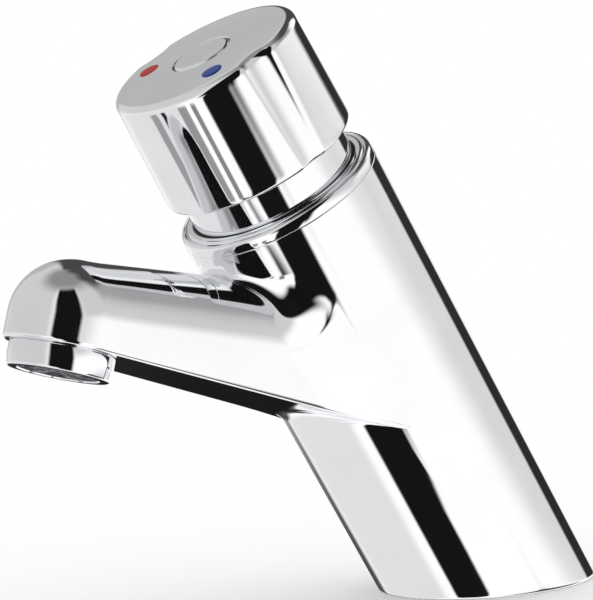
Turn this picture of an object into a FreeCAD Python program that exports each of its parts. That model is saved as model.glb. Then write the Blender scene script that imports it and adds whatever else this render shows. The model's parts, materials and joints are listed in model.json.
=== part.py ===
"""Self-closing basin mixer tap, as an assembly of separate pieces.

The barrel leans towards the user (-Y). The origin is the centre of the base face,
+Z is up. Everything round the barrel's axis is drawn upright, with its height
measured along that axis from the origin, and is then tilted by the lean angle.
"""
import FreeCAD
import Part
import os
import re
import Sketcher
from FreeCAD import Placement, Rotation, Vector

SIZES = [
    ("lean", 32.0, "angle of the barrel from upright, degrees"),
    # barrel and base
    ("barrel_radius", 24.0, "outside of the barrel"),
    ("base_edge", 0.8, "rounding of the base edge"),
    ("stud_radius", 3.4, "fixing stud hole, cut for an M8 thread"),
    ("stud_depth", 16.0, "fixing stud hole"),
    ("stud_setback", 13.0, "stud hole behind the origin"),
    ("inlet_radius", 4.5, "inlet for a supply hose, cut for an M10 x 1 thread"),
    ("inlet_depth", 11.0, "threaded inlet"),
    ("inlet_spread", 9.0, "inlet from the middle plane"),
    ("passage_start", 1.0, "waterway from the inlet, below the inlet's end"),
    ("passage_radius", 3.4, "waterway from the inlet to the discs"),
    ("gasket_width", 2.6, "base gasket, across"),
    ("gasket_height", 2.0, "base gasket, thickness"),
    ("gasket_inset", 3.4, "barrel wall outside the base gasket"),
    # spout
    ("outlet_reach", 120.8, "outlet axis at the underside, ahead of the origin"),
    ("outlet_height", 65.7, "underside at the outlet, above the base"),
    ("outlet_tilt", 16.9, "outlet axis from vertical, degrees"),
    ("tip_radius", 13.0, "rounded end of the spout"),
    ("tip_depth", 19.2, "depth of the spout at the outlet"),
    ("root_sink", 9.0, "barrel wall to the section inside the barrel, at the underside"),
    ("root_shoulder", 7.5, "spout's flank inside the barrel's side at that section"),
    ("root_depth", 31.2, "depth of that section"),
    ("rim_rise", 5.0, "barrel's rim above the spout's crown, along the axis"),
    ("spout_edge", 1.8, "rounding of the lower edges"),
    ("flank_blend", 9.0, "hollow between spout and barrel, sides and below"),
    ("crown_blend", 1.5, "hollow between spout and barrel, on top"),
    ("waterway_radius", 3.8, "passage along the spout"),
    ("waterway_rise", 12.7, "passage at the outlet, above the underside"),
    ("waterway_neck", 6.0, "bore from the outlet ring up to the passage"),
    ("waterway_fall", 12.8, "fall of the passage towards the barrel, degrees"),
    ("outlet_thread_radius", 11.0, "bore for the outlet ring"),
    ("outlet_thread_depth", 9.0, "bore for the outlet ring"),
    # outlet ring and what it holds
    ("outlet_ring_radius", 11.45, "visible collar"),
    ("outlet_ring_height", 5.4, "visible collar"),
    ("outlet_ring_taper", 0.35, "collar, narrower at the mouth by"),
    ("outlet_ring_bore", 9.6, "bore of the outlet ring"),
    ("outlet_lip", 0.9, "lip that holds the insert in"),
    ("insert_height", 4.0, "grey insert"),
    ("insert_hub", 2.2, "solid middle of the insert"),
    ("insert_mid", 4.9, "outside of its inner ring of slots"),
    ("insert_rib", 0.8, "ribs of the insert"),
    ("insert_rim", 1.0, "rim of the insert"),
    ("regulator_height", 2.0, "flow regulator"),
    ("regulator_hole", 1.2, "holes of the regulator"),
    ("regulator_circle", 5.5, "circle of those holes"),
    ("washer_height", 1.6, "outlet washer"),
    # bezel ring and its wiper
    ("fit_gap", 0.05, "radial gap where one piece is fixed in another"),
    ("bezel_gap", 0.5, "bezel ring round the skirt"),
    ("wiper_gap", 0.2, "wiper lip round the skirt"),
    ("bezel_height", 3.6, "ring above the barrel's rim"),
    ("bezel_edge", 1.1, "rounding of the ring's outer edge"),
    ("rim_wall", 1.8, "barrel wall round the bezel ring's threaded part"),
    ("bezel_wall", 1.8, "bezel ring's threaded part, between barrel and skirt"),
    ("bezel_spigot_depth", 8.1, "threaded part inside the barrel"),
    ("wiper_width", 1.1, "groove of the wiper seal, across"),
    ("wiper_height", 1.5, "wiper seal"),
    ("wiper_recess", 0.7, "wiper below the ring's top face"),
    # head
    ("head_margin", 0.6, "head above the bezel ring when pushed"),
    ("head_overhang", 3.0, "head outside the skirt, at the foot"),
    ("head_height", 29.0, "wall of the head, foot to rim before rounding"),
    ("head_draft", 0.7, "head narrower at the rim by"),
    ("head_foot_edge", 1.6, "rounding at the foot"),
    ("head_rim_edge", 2.6, "rounding at the rim"),
    ("crown_rise", 0.6, "dome of the top face above the rim"),
    ("head_turn", -7.6, "head as it is set, turned from mixed, degrees"),
    ("scallop_angle", 99.5, "scallops from the front, degrees"),
    ("scallop_over", 1.0, "cutter past the foot and the crown"),
    ("scallop_edge", 4.0, "rounding beside a scallop"),
    ("scallop_radius", 22.0, "hollow of the finger scallop"),
    ("scallop_depth", 5.0, "scallop at the rim"),
    ("scallop_foot_depth", 0.4, "scallop at the foot"),
    ("head_wall", 2.0, "metal between a scallop and the hollow above the skirt"),
    ("head_hub_radius", 7.0, "hub on the spindle"),
    ("head_hub_drop", 10.0, "hub below the hollow's roof"),
    ("head_roof", 7.6, "thickness of the top"),
    # cap and dots
    ("cap_radius", 6.9, "raised disc in the middle"),
    ("cap_gap", 0.8, "groove round the disc"),
    ("cap_recess", 2.6, "recess that the disc sits in"),
    ("cap_rise", 0.5, "edge of the disc above the top face"),
    ("cap_edge", 0.5, "rounding of the disc"),
    ("dot_radius", 2.4, "coloured dot"),
    ("dot_circle", 14.8, "dots from the axis"),
    ("dot_angle", 63.5, "dots from the front, degrees"),
    ("dot_height", 1.0, "thickness of a dot"),
    ("dot_sink", 0.3, "dot below the top face"),
    # skirt below the head
    ("skirt_wall", 1.5, "wall of the sleeve"),
    ("skirt_margin", 1.8, "skirt above the housing's flange when pushed"),
    ("skirt_seat", 4.5, "skirt inside the head"),
    ("push_travel", 4.5, "how far the head goes down"),
    ("turn_limit", 60.0, "turn each way from mixed, degrees"),
    # cartridge in the barrel
    ("cartridge_length", 64.5, "floor of the chamber to the housing's top"),
    ("barrel_wall", 5.5, "barrel wall round the chamber"),
    ("housing_gap", 0.3, "housing in the chamber"),
    ("housing_flange_height", 1.4, "flange clamped by the bezel ring"),
    ("housing_foot_wall", 1.2, "housing wall round the ceramic discs"),
    ("disc_height", 3.5, "each ceramic disc"),
    ("disc_gap", 0.2, "discs in the housing"),
    ("slot_half_angle", 55.0, "half the mixing slot, degrees"),
    ("disc_port_radius", 3.5, "ports of the fixed disc"),
    ("seal_height", 2.0, "inlet seals"),
    ("seal_wall", 1.5, "inlet seals, across"),
    ("housing_wall", 3.2, "housing wall round the turning sleeve"),
    ("sleeve_gap", 0.3, "turning sleeve in the housing"),
    ("sleeve_flange", 4.0, "foot flange of the turning sleeve"),
    ("sleeve_bore", 9.5, "chambers in the turning sleeve"),
    ("seat_radius", 6.6, "opening of the seat"),
    ("seat_web", 2.6, "metal of the seat"),
    ("partition_web", 2.6, "metal of that floor"),
    ("port_radius", 2.3, "ports out of the sleeve"),
    ("port_belt", 2.9, "half height of the belt round the ports"),
    ("port_wall", 1.5, "wall left at the belt"),
    ("port_clear", 0.6, "seat below the ports"),
    ("housing_ring_reach", 14.5, "O-rings of the housing, above and below the ports"),
    ("sleeve_ring_reach", 10.0, "O-rings of the sleeve, above and below the ports"),
    ("ring_play", 0.15, "O-ring in its groove"),
    ("lug_inset", 2.5, "stop lug outside the sleeve's bore"),
    ("lug_half_angle", 10.0, "half the stop lug, degrees"),
    ("lug_height", 2.4, "stop lug"),
    ("stop_height", 3.0, "temperature stop ring"),
    ("stop_play", 1.5, "lug short of the stop, degrees"),
    ("cap_flange_height", 1.2, "flange of the sleeve cap"),
    ("oring_section", 0.9, "radius of an O-ring's section"),
    ("cap_plug_height", 3.0, "sleeve cap"),
    # moving valve
    ("hex_flats", 8.0, "six-sided part of the spindle, across flats"),
    ("hex_gap", 0.25, "six-sided part in the sleeve cap"),
    ("stem_radius", 3.0, "round part of the spindle"),
    ("stem_gap", 0.3, "round part in the partition"),
    ("screw_radius", 2.5, "head screw"),
    ("screw_head_radius", 4.4, "head screw"),
    ("screw_head_height", 2.6, "head screw"),
    ("screw_grip", 9.0, "thread in the spindle"),
    ("piston_height", 4.0, "timing piston"),
    ("piston_play", 3.65, "piston below the sleeve cap at rest"),
    ("piston_margin", 3.5, "piston above the partition when pushed"),
    ("piston_land", 0.9, "piston above and below its seal"),
    ("piston_groove", 1.6, "depth of the seal's groove"),
    ("stem_foot", 1.2, "stem below the valve holder"),
    ("washer_thickness", 2.4, "valve washer"),
    ("holder_height", 2.2, "valve holder"),
    ("valve_radius", 8.3, "valve washer and holder"),
    ("rest_gap", 0.15, "clearance between faces that part or slide"),
    ("plate_height", 2.4, "plate under the spring"),
    ("plate_hole_circle", 6.0, "holes of the plate"),
    ("plate_hole_radius", 1.7, "holes of the plate"),
    ("coil_radius", 6.9, "middle of the spring's wire from the axis"),
    ("wire_radius", 0.7, "spring wire"),
    ("coil_turns", 4.0, "turns of the spring"),
]
PLATE_HOLES = 6
INSERT_SLOTS = 12
REGULATOR_HOLES = 6
OCTAGON = 8
ALIASES = {name for name, value, note in SIZES}

doc = FreeCAD.newDocument("tap")
sheet = doc.addObject("Spreadsheet::Sheet", "Sizes")
for row, (name, value, note) in enumerate(SIZES, start=1):
    sheet.set("A%d" % row, name)
    sheet.set("B%d" % row, str(value))
    sheet.set("C%d" % row, note)
    sheet.setAlias("B%d" % row, name)
doc.recompute()

TILT_AXIS = Vector(1, 0, 0)
NODES = []


def bound(text):
    """A size expression with each alias tied to the sheet."""
    return re.sub(r"[a-z_]+", lambda m: "Sizes." + m.group() if m.group() in ALIASES else m.group(), text)


def size(text):
    """The value that a size expression has now."""
    return float(sheet.evalExpression(bound(text)))


def tie(thing, path, text):
    if text != "0":
        thing.setExpression(path, bound(text))


def new_body(name):
    body = doc.addObject("PartDesign::Body", name)
    body.Label = name
    return body


def plane(body, role):
    return next(f for f in body.Origin.OriginFeatures if f.Role == role)


def new_sketch(body, role, name):
    sketch = body.newObject("Sketcher::SketchObject", name)
    sketch.AttachmentSupport = [(plane(body, role), "")]
    sketch.MapMode = "FlatFace"
    return sketch


def pin(sketch, geo, point, across, along):
    """Holds one point of the sketch at (across, along) from its origin."""
    for kind, text in (("DistanceX", across), ("DistanceY", along)):
        index = sketch.addConstraint(Sketcher.Constraint(kind, -1, 1, geo, point, size(text)))
        tie(sketch, "Constraints[%d]" % index, text)


def polygon(sketch, corners):
    """A closed outline of straight lines through the corners."""
    count = len(corners)
    spots = [Vector(size(x), size(y), 0) for x, y in corners]
    first = sketch.GeometryCount
    for i in range(count):
        sketch.addGeometry(Part.LineSegment(spots[i], spots[(i + 1) % count]), False)
    for i in range(count):
        sketch.addConstraint(Sketcher.Constraint("Coincident", first + i, 2, first + (i + 1) % count, 1))
    for i, (x, y) in enumerate(corners):
        pin(sketch, first + i, 1, x, y)


def ring_of(sketch, across, along, radius):
    """A circle with its centre and radius tied to sizes."""
    centre = Vector(size(across), size(along), 0)
    geo = sketch.addGeometry(Part.Circle(centre, Vector(0, 0, 1), size(radius)), False)
    pin(sketch, geo, 3, across, along)
    index = sketch.addConstraint(Sketcher.Constraint("Radius", geo, size(radius)))
    tie(sketch, "Constraints[%d]" % index, radius)


def hexagon(sketch, flats):
    """A six-sided outline round the origin, given across its flats."""
    half = "(%s) / 2" % flats
    corner = "(%s) / sqrt(3)" % flats
    polygon(sketch, [
        (corner, "0"), ("%s / 2" % corner, half), ("-%s / 2" % corner, half),
        ("-%s" % corner, "0"), ("-%s / 2" % corner, "-%s" % half), ("%s / 2" % corner, "-%s" % half)])


def revolve(body, kind, sketch):
    feature = body.newObject("PartDesign::" + kind, sketch.Name + "_turn")
    feature.Profile = sketch
    feature.ReferenceAxis = (sketch, ["V_Axis"])
    feature.Angle = 360.0
    sketch.Visibility = False
    doc.recompute()
    return feature


def turned(body, corners, name, kind="Revolution", role="XZ_Plane"):
    """Turns an outline of (radius, height) corners about the body's axis."""
    sketch = new_sketch(body, role, name)
    polygon(sketch, corners)
    return revolve(body, kind, sketch)


def drilled(body, sketch, length, upwards=True):
    """Cuts the sketch's outline into the body, along the sketch's normal or against it."""
    before = body.Shape.Volume
    pocket = body.newObject("PartDesign::Pocket", sketch.Name + "_cut")
    pocket.Profile = sketch
    pocket.Type = 0
    pocket.Length = size(length)
    tie(pocket, "Length", length)
    pocket.Reversed = upwards
    doc.recompute()
    if not body.Shape.Volume < before - 0.01:
        raise RuntimeError(sketch.Name + " cuts nothing")
    return pocket


def padded(body, sketch, length):
    pad = body.newObject("PartDesign::Pad", sketch.Name + "_pad")
    pad.Profile = sketch
    pad.Length = size(length)
    tie(pad, "Length", length)
    doc.recompute()
    return pad


def lifted(sketch, text):
    """Moves a sketch along its plane's normal."""
    tie(sketch, "AttachmentOffset.Base.z", text)


def rounded(body, feature, names, radius):
    fillet = body.newObject("PartDesign::Fillet", body.Name + "_rounding")
    fillet.Base = (feature, names)
    fillet.Radius = size(radius)
    tie(fillet, "Radius", radius)
    doc.recompute()
    return fillet


def rim_edges(feature, radius, height):
    """Names of the round edges of this radius at this height."""
    names = []
    for number, edge in enumerate(feature.Shape.Edges, start=1):
        box = edge.BoundBox
        wide = abs(box.XMax - size(radius)) < 0.01
        level = abs(box.ZMax - size(height)) < 0.01 and box.ZLength < 0.01
        if wide and level:
            names.append("Edge%d" % number)
    return names


def leaning(thing):
    """Tilts a piece that was drawn upright."""
    tie(thing, "Placement", "placement(vector(0; 0; 0); rotation(vector(1; 0; 0); lean))")


def leaning_with_head(thing):
    """Tilts a piece that goes round with the head, after turning it to where the head is set."""
    turn = "rotation(vector(1; 0; 0); lean) * rotation(vector(0; 0; 1); head_turn)"
    tie(thing, "Placement", "placement(vector(0; 0; 0); %s)" % turn)


def keep(thing, name):
    thing.Label = name
    NODES.append((name, thing))


def tilted(sketch, forward, angle, across="0", up="0"):
    """Leans a sketch on the middle plane: its V axis tips forward (1) or back (-1) by the angle."""
    turn = Rotation(Vector(0, 0, forward), size(angle))
    sketch.AttachmentOffset = Placement(Vector(size(across), size(up), 0), turn)
    tie(sketch, "AttachmentOffset.Base.x", across)
    tie(sketch, "AttachmentOffset.Base.y", up)
    tie(sketch, "AttachmentOffset.Rotation.Angle", "(%s) * 1 deg" % angle)


def on_barrel(body, corners, name, kind):
    """Turns an outline about the barrel's own leaning axis."""
    sketch = new_sketch(body, "YZ_Plane", name)
    tilted(sketch, 1, "lean")
    polygon(sketch, corners)
    return revolve(body, kind, sketch)


def on_outlet(body, corners, name, kind):
    """Turns an outline about the outlet's axis. Height is 0 at the spout's underside."""
    sketch = new_sketch(body, "YZ_Plane", name)
    tilted(sketch, -1, "outlet_tilt", "-outlet_reach", "outlet_height")
    polygon(sketch, corners)
    return revolve(body, kind, sketch)


def spout_section(body, name, run, half_width, depth):
    """An arch across the spout: flat underside, rounded lower edges, upright flanks, round top."""
    sketch = new_sketch(body, "XZ_Plane", name)
    sketch.AttachmentOffset = Placement(Vector(), Rotation(Vector(-1, 0, 0), size("outlet_tilt")))
    tie(sketch, "AttachmentOffset.Rotation.Angle", "outlet_tilt * 1 deg")
    tie(sketch, "AttachmentOffset.Base.y", "outlet_height - %s * sin(outlet_tilt * 1 deg)" % run)
    tie(sketch, "AttachmentOffset.Base.z", "outlet_reach - %s * cos(outlet_tilt * 1 deg)" % run)
    inner = "(%s - spout_edge)" % half_width
    spring = "(%s - %s)" % (depth, half_width)
    wide, edge, tall = size(half_width), size("spout_edge"), size(depth)
    mid = 0.5 ** 0.5
    low_left, low_right = Vector(edge - wide, 0, 0), Vector(wide - edge, 0, 0)
    side_left, side_right = Vector(-wide, edge, 0), Vector(wide, edge, 0)
    spring_left, spring_right = Vector(-wide, tall - wide, 0), Vector(wide, tall - wide, 0)
    crown = Vector(0, tall, 0)
    sketch.addGeometry(Part.LineSegment(low_left, low_right), False)
    sketch.addGeometry(Part.Arc(low_right, low_right + Vector(mid, 1 - mid, 0) * edge, side_right), False)
    sketch.addGeometry(Part.LineSegment(side_right, spring_right), False)
    sketch.addGeometry(Part.Arc(spring_right, crown + Vector(mid, mid - 1, 0) * wide, crown), False)
    sketch.addGeometry(Part.Arc(crown, crown + Vector(-mid, mid - 1, 0) * wide, spring_left), False)
    sketch.addGeometry(Part.LineSegment(spring_left, side_left), False)
    sketch.addGeometry(Part.Arc(side_left, low_left + Vector(-mid, 1 - mid, 0) * edge, low_left), False)
    for first, second in ((0, 1), (2, 3), (4, 5), (6, 0)):
        sketch.addConstraint(Sketcher.Constraint("Tangent", first, 2, second, 1))
    for first, second in ((1, 2), (3, 4), (5, 6)):
        sketch.addConstraint(Sketcher.Constraint("Coincident", first, 2, second, 1))
    pin(sketch, 0, 1, "-" + inner, "0")
    pin(sketch, 0, 2, inner, "0")
    pin(sketch, 2, 1, half_width, "spout_edge")
    pin(sketch, 2, 2, half_width, spring)
    pin(sketch, 3, 2, "0", depth)
    pin(sketch, 5, 1, "-" + half_width, spring)
    pin(sketch, 5, 2, "-" + half_width, "spout_edge")
    return sketch


# Radii that several pieces share, from the barrel inwards.
SPIGOT = "(barrel_radius - rim_wall)"
SKIRT = "(%s - bezel_wall - bezel_gap)" % SPIGOT
SKIRT_BORE = "(%s - skirt_wall)" % SKIRT
WIPER = "(%s + wiper_width)" % SKIRT
HEAD_AT_FOOT = "(%s + head_overhang)" % SKIRT
HEAD_AT_RIM = "(%s - head_draft)" % HEAD_AT_FOOT
HEAD_HOLLOW = "(%s - scallop_depth - head_wall)" % HEAD_AT_RIM
CHAMBER = "(barrel_radius - barrel_wall)"
HOUSING = "(%s - housing_gap)" % CHAMBER
DISC = "(%s - housing_foot_wall - disc_gap)" % HOUSING
HOUSING_BORE = "(%s - housing_wall)" % HOUSING
SLEEVE = "(%s - sleeve_gap)" % HOUSING_BORE
STOP = "(%s - bezel_gap)" % SKIRT_BORE
CAP_RECESS = "(cap_radius + cap_gap)"
SLEEVE_RING = "(%s - sleeve_gap / 3 - oring_section)" % HOUSING_BORE
HOUSING_RING = "(%s - fit_gap - oring_section)" % CHAMBER

# The spout, from the outlet axis to the section inside the barrel. Its crown meets the barrel at
# CROWN_RUN from the outlet axis, and the rim lies above that.
PITCH = "((lean + outlet_tilt) * 1 deg)"
OUTLET_AHEAD = "(outlet_reach * cos(lean * 1 deg) - outlet_height * sin(lean * 1 deg))"
OUTLET_ALONG = "(outlet_reach * sin(lean * 1 deg) + outlet_height * cos(lean * 1 deg))"
SPOUT_RUN = "((%s - barrel_radius + root_sink) / cos(%s))" % (OUTLET_AHEAD, PITCH)
ROOT_HALF_WIDTH = "(barrel_radius - root_shoulder)"
CROWN_SLOPE = "((root_depth - tip_depth) / %s)" % SPOUT_RUN
CROWN_FALL = "(cos(%s) + %s * sin(%s))" % (PITCH, CROWN_SLOPE, PITCH)
CROWN_RUN = "((%s - barrel_radius - tip_depth * sin(%s)) / %s)" % (OUTLET_AHEAD, PITCH, CROWN_FALL)
CROWN_DEPTH = "(tip_depth + %s * %s)" % (CROWN_SLOPE, CROWN_RUN)
RIM = "(%s - %s * sin(%s) + %s * cos(%s) + rim_rise)" % (OUTLET_ALONG, CROWN_RUN, PITCH, CROWN_DEPTH, PITCH)

# Heights along the barrel's axis: the head and its skirt above the bezel ring.
BEZEL_TOP = "(%s + bezel_height)" % RIM
HOUSING_TOP = "(%s - bezel_spigot_depth)" % RIM
FLANGE_LOW = "(%s - housing_flange_height)" % HOUSING_TOP
HEAD_FOOT = "(%s + push_travel + head_margin)" % BEZEL_TOP
HEAD_RIM = "(%s + head_height)" % HEAD_FOOT
SKIRT_FOOT = "(%s + push_travel + skirt_margin)" % HOUSING_TOP
CROWN = "(%s + crown_rise)" % HEAD_RIM
HEAD_ROOF = "(%s - head_roof)" % CROWN
CAP_FLOOR = "(%s - cap_recess)" % CROWN
SCREW_FLOOR = "(%s - screw_head_height - fit_gap)" % CAP_FLOOR
DOT_TOP = "(%s - crown_rise * (dot_circle / %s)^2 - dot_sink)" % (CROWN, HEAD_AT_RIM)

# The cartridge from its foot: seals, discs, the sleeve's flange and the plate under the spring.
CHAMBER_FLOOR = "(%s - cartridge_length)" % HOUSING_TOP
DISC_LOW = "(%s + seal_height)" % CHAMBER_FLOOR
DISC_SPLIT = "(%s + disc_height)" % DISC_LOW
TURN_LOW = "(%s + rest_gap)" % DISC_SPLIT
SLEEVE_FOOT = "(%s + disc_height)" % TURN_LOW
SLEEVE_STEP = "(%s + sleeve_flange)" % SLEEVE_FOOT
HOUSING_STEP = "(%s + rest_gap)" % SLEEVE_STEP
PLATE_TOP = "(%s + plate_height)" % SLEEVE_FOOT

# The cartridge from its top: cap, timing chamber, ports, seat and the valve below it.
SLEEVE_TOP = "(%s + rest_gap)" % HOUSING_TOP
SLEEVE_CAP_LOW = "(%s - cap_plug_height)" % SLEEVE_TOP
PISTON_TOP = "(%s - piston_play)" % SLEEVE_CAP_LOW
PISTON_LOW = "(%s - piston_height)" % PISTON_TOP
PARTITION_TOP = "(%s - push_travel - piston_margin)" % PISTON_LOW
PARTITION = "(%s - partition_web)" % PARTITION_TOP
PORT = "(%s - port_belt)" % PARTITION
SEAT_TOP = "(%s - port_radius - port_clear)" % PORT
SEAT = "(%s - seat_web)" % SEAT_TOP
WASHER_TOP = "(%s - rest_gap)" % SEAT
WASHER_LOW = "(%s - washer_thickness)" % WASHER_TOP
HOLDER_LOW = "(%s - holder_height)" % WASHER_LOW
SLEEVE_RINGS = ["(%s - sleeve_ring_reach)" % PORT, "(%s + sleeve_ring_reach)" % PORT]
HOUSING_RINGS = ["(%s - housing_ring_reach)" % PORT, "(%s + housing_ring_reach)" % PORT]

# The waterways: from the inlets up to the discs, and from the chamber's front wall to the outlet.
INLET_ADVANCE = "(inlet_depth * tan(lean * 1 deg))"
PASSAGE_LOW = "((inlet_depth - passage_start) / cos(lean * 1 deg))"
WATER_START = "(outlet_reach * cos(lean * 1 deg) - (outlet_height + waterway_rise) * sin(lean * 1 deg))"
WATER_LENGTH = "((%s - %s) / cos((waterway_fall + lean) * 1 deg) + waterway_radius)" % (WATER_START, CHAMBER)


def groove_corners(outer, middle, ring):
    """Corners of an O-ring groove in an outside wall, from low to high."""
    floor = "(%s - oring_section - fit_gap)" % ring
    low = "(%s - oring_section - ring_play)" % middle
    high = "(%s + oring_section + ring_play)" % middle
    return [(outer, low), (floor, low), (floor, high), (outer, high)]


def tap_body():
    """Barrel, spout and rounded tip in one casting, with the hollows inside."""
    body = new_body("casting")
    on_barrel(body, [("0", "-barrel_radius"), ("barrel_radius", "-barrel_radius"),
                     ("barrel_radius", RIM), ("0", RIM)], "barrel", "Revolution")
    loft = body.newObject("PartDesign::AdditiveLoft", "spout")
    tip = spout_section(body, "tip_section", "0", "tip_radius", "tip_depth")
    root = spout_section(body, "root_section", SPOUT_RUN, ROOT_HALF_WIDTH, "root_depth")
    loft.Profile = tip
    loft.Sections = [root]
    loft.Ruled = True
    doc.recompute()
    dome = new_sketch(body, "YZ_Plane", "tip_dome")
    tilted(dome, -1, "outlet_tilt", "-outlet_reach", "outlet_height")
    shoulder = "(tip_depth - tip_radius)"
    wide, tall = size("tip_radius"), size("tip_depth")
    mid = 0.5 ** 0.5
    side = Vector(wide, tall - wide, 0)
    top = Vector(0, tall, 0)
    dome.addGeometry(Part.LineSegment(Vector(), Vector(wide, 0, 0)), False)
    dome.addGeometry(Part.LineSegment(Vector(wide, 0, 0), side), False)
    dome.addGeometry(Part.Arc(side, top + Vector(mid, mid - 1, 0) * wide, top), False)
    dome.addGeometry(Part.LineSegment(top, Vector()), False)
    dome.addConstraint(Sketcher.Constraint("Coincident", 0, 2, 1, 1))
    dome.addConstraint(Sketcher.Constraint("Tangent", 1, 2, 2, 1))
    dome.addConstraint(Sketcher.Constraint("Coincident", 2, 2, 3, 1))
    dome.addConstraint(Sketcher.Constraint("Coincident", 3, 2, 0, 1))
    pin(dome, 0, 1, "0", "0")
    pin(dome, 0, 2, "tip_radius", "0")
    pin(dome, 1, 2, "tip_radius", shoulder)
    pin(dome, 3, 1, "0", "tip_depth")
    revolve(body, "Revolution", dome)
    below = new_sketch(body, "XY_Plane", "below_base")
    polygon(below, [("-outlet_reach", "-outlet_reach"), ("outlet_reach", "-outlet_reach"),
                    ("outlet_reach", "outlet_reach"), ("-outlet_reach", "outlet_reach")])
    drilled(body, below, "2 * barrel_radius", upwards=False)
    on_barrel(body, [("0", CHAMBER_FLOOR), (CHAMBER, CHAMBER_FLOOR), (CHAMBER, FLANGE_LOW),
                     ("(%s + fit_gap)" % SPIGOT, FLANGE_LOW),
                     ("(%s + fit_gap)" % SPIGOT, RIM), ("0", RIM)],
              "chamber", "Groove")
    on_outlet(body, [("0", "0"), ("outlet_thread_radius", "0"),
                     ("outlet_thread_radius", "outlet_thread_depth"),
                     ("waterway_neck", "outlet_thread_depth"), ("waterway_neck", "waterway_rise"),
                     ("0", "waterway_rise")], "outlet_bore", "Groove")
    passage = new_sketch(body, "YZ_Plane", "waterway")
    tilted(passage, -1, "(90 + waterway_fall)", "-outlet_reach", "(outlet_height + waterway_rise)")
    polygon(passage, [("0", "0"), ("waterway_radius", "0"), ("waterway_radius", WATER_LENGTH),
                      ("0", WATER_LENGTH)])
    revolve(body, "Groove", passage)
    inlets = new_sketch(body, "XY_Plane", "inlets")
    ways = new_sketch(body, "XY_Plane", "inlet_ways")
    ways.AttachmentOffset = Placement(Vector(), Rotation(TILT_AXIS, size("lean")))
    tie(ways, "AttachmentOffset.Rotation.Angle", "lean * 1 deg")
    tie(ways, "AttachmentOffset.Base.y", "-%s * sin(lean * 1 deg)" % PASSAGE_LOW)
    tie(ways, "AttachmentOffset.Base.z", "%s * cos(lean * 1 deg)" % PASSAGE_LOW)
    for way in ("", "-"):
        ring_of(inlets, way + "inlet_spread", "-" + INLET_ADVANCE, "inlet_radius")
        ring_of(ways, way + "inlet_spread", "0", "passage_radius")
    drilled(body, inlets, "inlet_depth")
    drilled(body, ways, "(%s - %s)" % (CHAMBER_FLOOR, PASSAGE_LOW))
    stud = new_sketch(body, "XY_Plane", "stud_hole")
    ring_of(stud, "0", "stud_setback", "stud_radius")
    drilled(body, stud, "stud_depth")
    seat = new_sketch(body, "XY_Plane", "gasket_seat")
    ring_of(seat, "0", "0", "(barrel_radius - gasket_inset)")
    ring_of(seat, "0", "0", "(barrel_radius - gasket_inset - gasket_width)")
    drilled(body, seat, "gasket_height")
    blend = doc.addObject("Part::Fillet", "tap_body")
    blend.Base = body
    blend.Edges = root_edges(body.Shape) + base_edges(body.Shape)
    doc.recompute()
    keep(blend, "tap_body")


def barrel_places(edge):
    """Distance from the barrel's axis and height along it, at points along an edge."""
    axis = Rotation(TILT_AXIS, size("lean")).multVec(Vector(0, 0, 1))
    places = []
    for step in range(5):
        share = step / 4.0
        spot = edge.valueAt(edge.FirstParameter * (1 - share) + edge.LastParameter * share)
        along = spot.dot(axis)
        places.append(((spot - axis * along).Length, along, spot))
    return places


def root_edges(shape):
    """The edges where the spout meets the barrel: full blend at the sides, fading to the crown."""
    rows = []
    for number, edge in enumerate(shape.Edges, start=1):
        places = barrel_places(edge)
        if any(abs(far - size("barrel_radius")) > 0.01 for far, along, spot in places):
            continue
        if max(along for far, along, spot in places) > size(RIM) - 0.01:
            continue
        if min(spot.z for far, along, spot in places) < 1.0:
            continue
        ends = [blend_radius(places[i][2]) for i in (0, -1)]
        rows.append((number, ends[0], ends[1]))
    return rows


def blend_radius(spot):
    on_crown = abs(spot.x) < 0.01 and spot.z > size("outlet_height")
    return size("crown_blend") if on_crown else size("flank_blend")


def base_edges(shape):
    """The outer edge of the base face."""
    rows = []
    for number, edge in enumerate(shape.Edges, start=1):
        flat = edge.BoundBox.ZLength < 0.01 and abs(edge.BoundBox.ZMax) < 0.01
        if flat and abs(edge.BoundBox.XLength - 2 * size("barrel_radius")) < 0.01:
            rows.append((number, size("base_edge"), size("base_edge")))
    return rows


def bezel_ring():
    body = new_body("bezel_ring")
    bore = "(%s + bezel_gap)" % SKIRT
    solid = turned(body, [
        (bore, HOUSING_TOP), (SPIGOT, HOUSING_TOP), (SPIGOT, RIM),
        ("barrel_radius", RIM), ("barrel_radius", BEZEL_TOP), (WIPER, BEZEL_TOP),
        (WIPER, "(%s - wiper_recess - wiper_height)" % BEZEL_TOP),
        (bore, "(%s - wiper_recess - wiper_height)" % BEZEL_TOP)], "bezel_profile")
    rounded(body, solid, rim_edges(solid, "barrel_radius", BEZEL_TOP), "bezel_edge")
    leaning(body)
    keep(body, "bezel_ring")


def wiper_seal():
    body = new_body("wiper_seal")
    low = "(%s - wiper_recess - wiper_height)" % BEZEL_TOP
    turned(body, [
        ("(%s + wiper_gap)" % SKIRT, low), ("(%s - fit_gap)" % WIPER, low),
        ("(%s - fit_gap)" % WIPER, "(%s + wiper_height)" % low),
        ("(%s + 2 * wiper_gap)" % SKIRT, "(%s + wiper_height)" % low)], "wiper_profile")
    leaning(body)
    keep(body, "wiper_seal")


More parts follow.
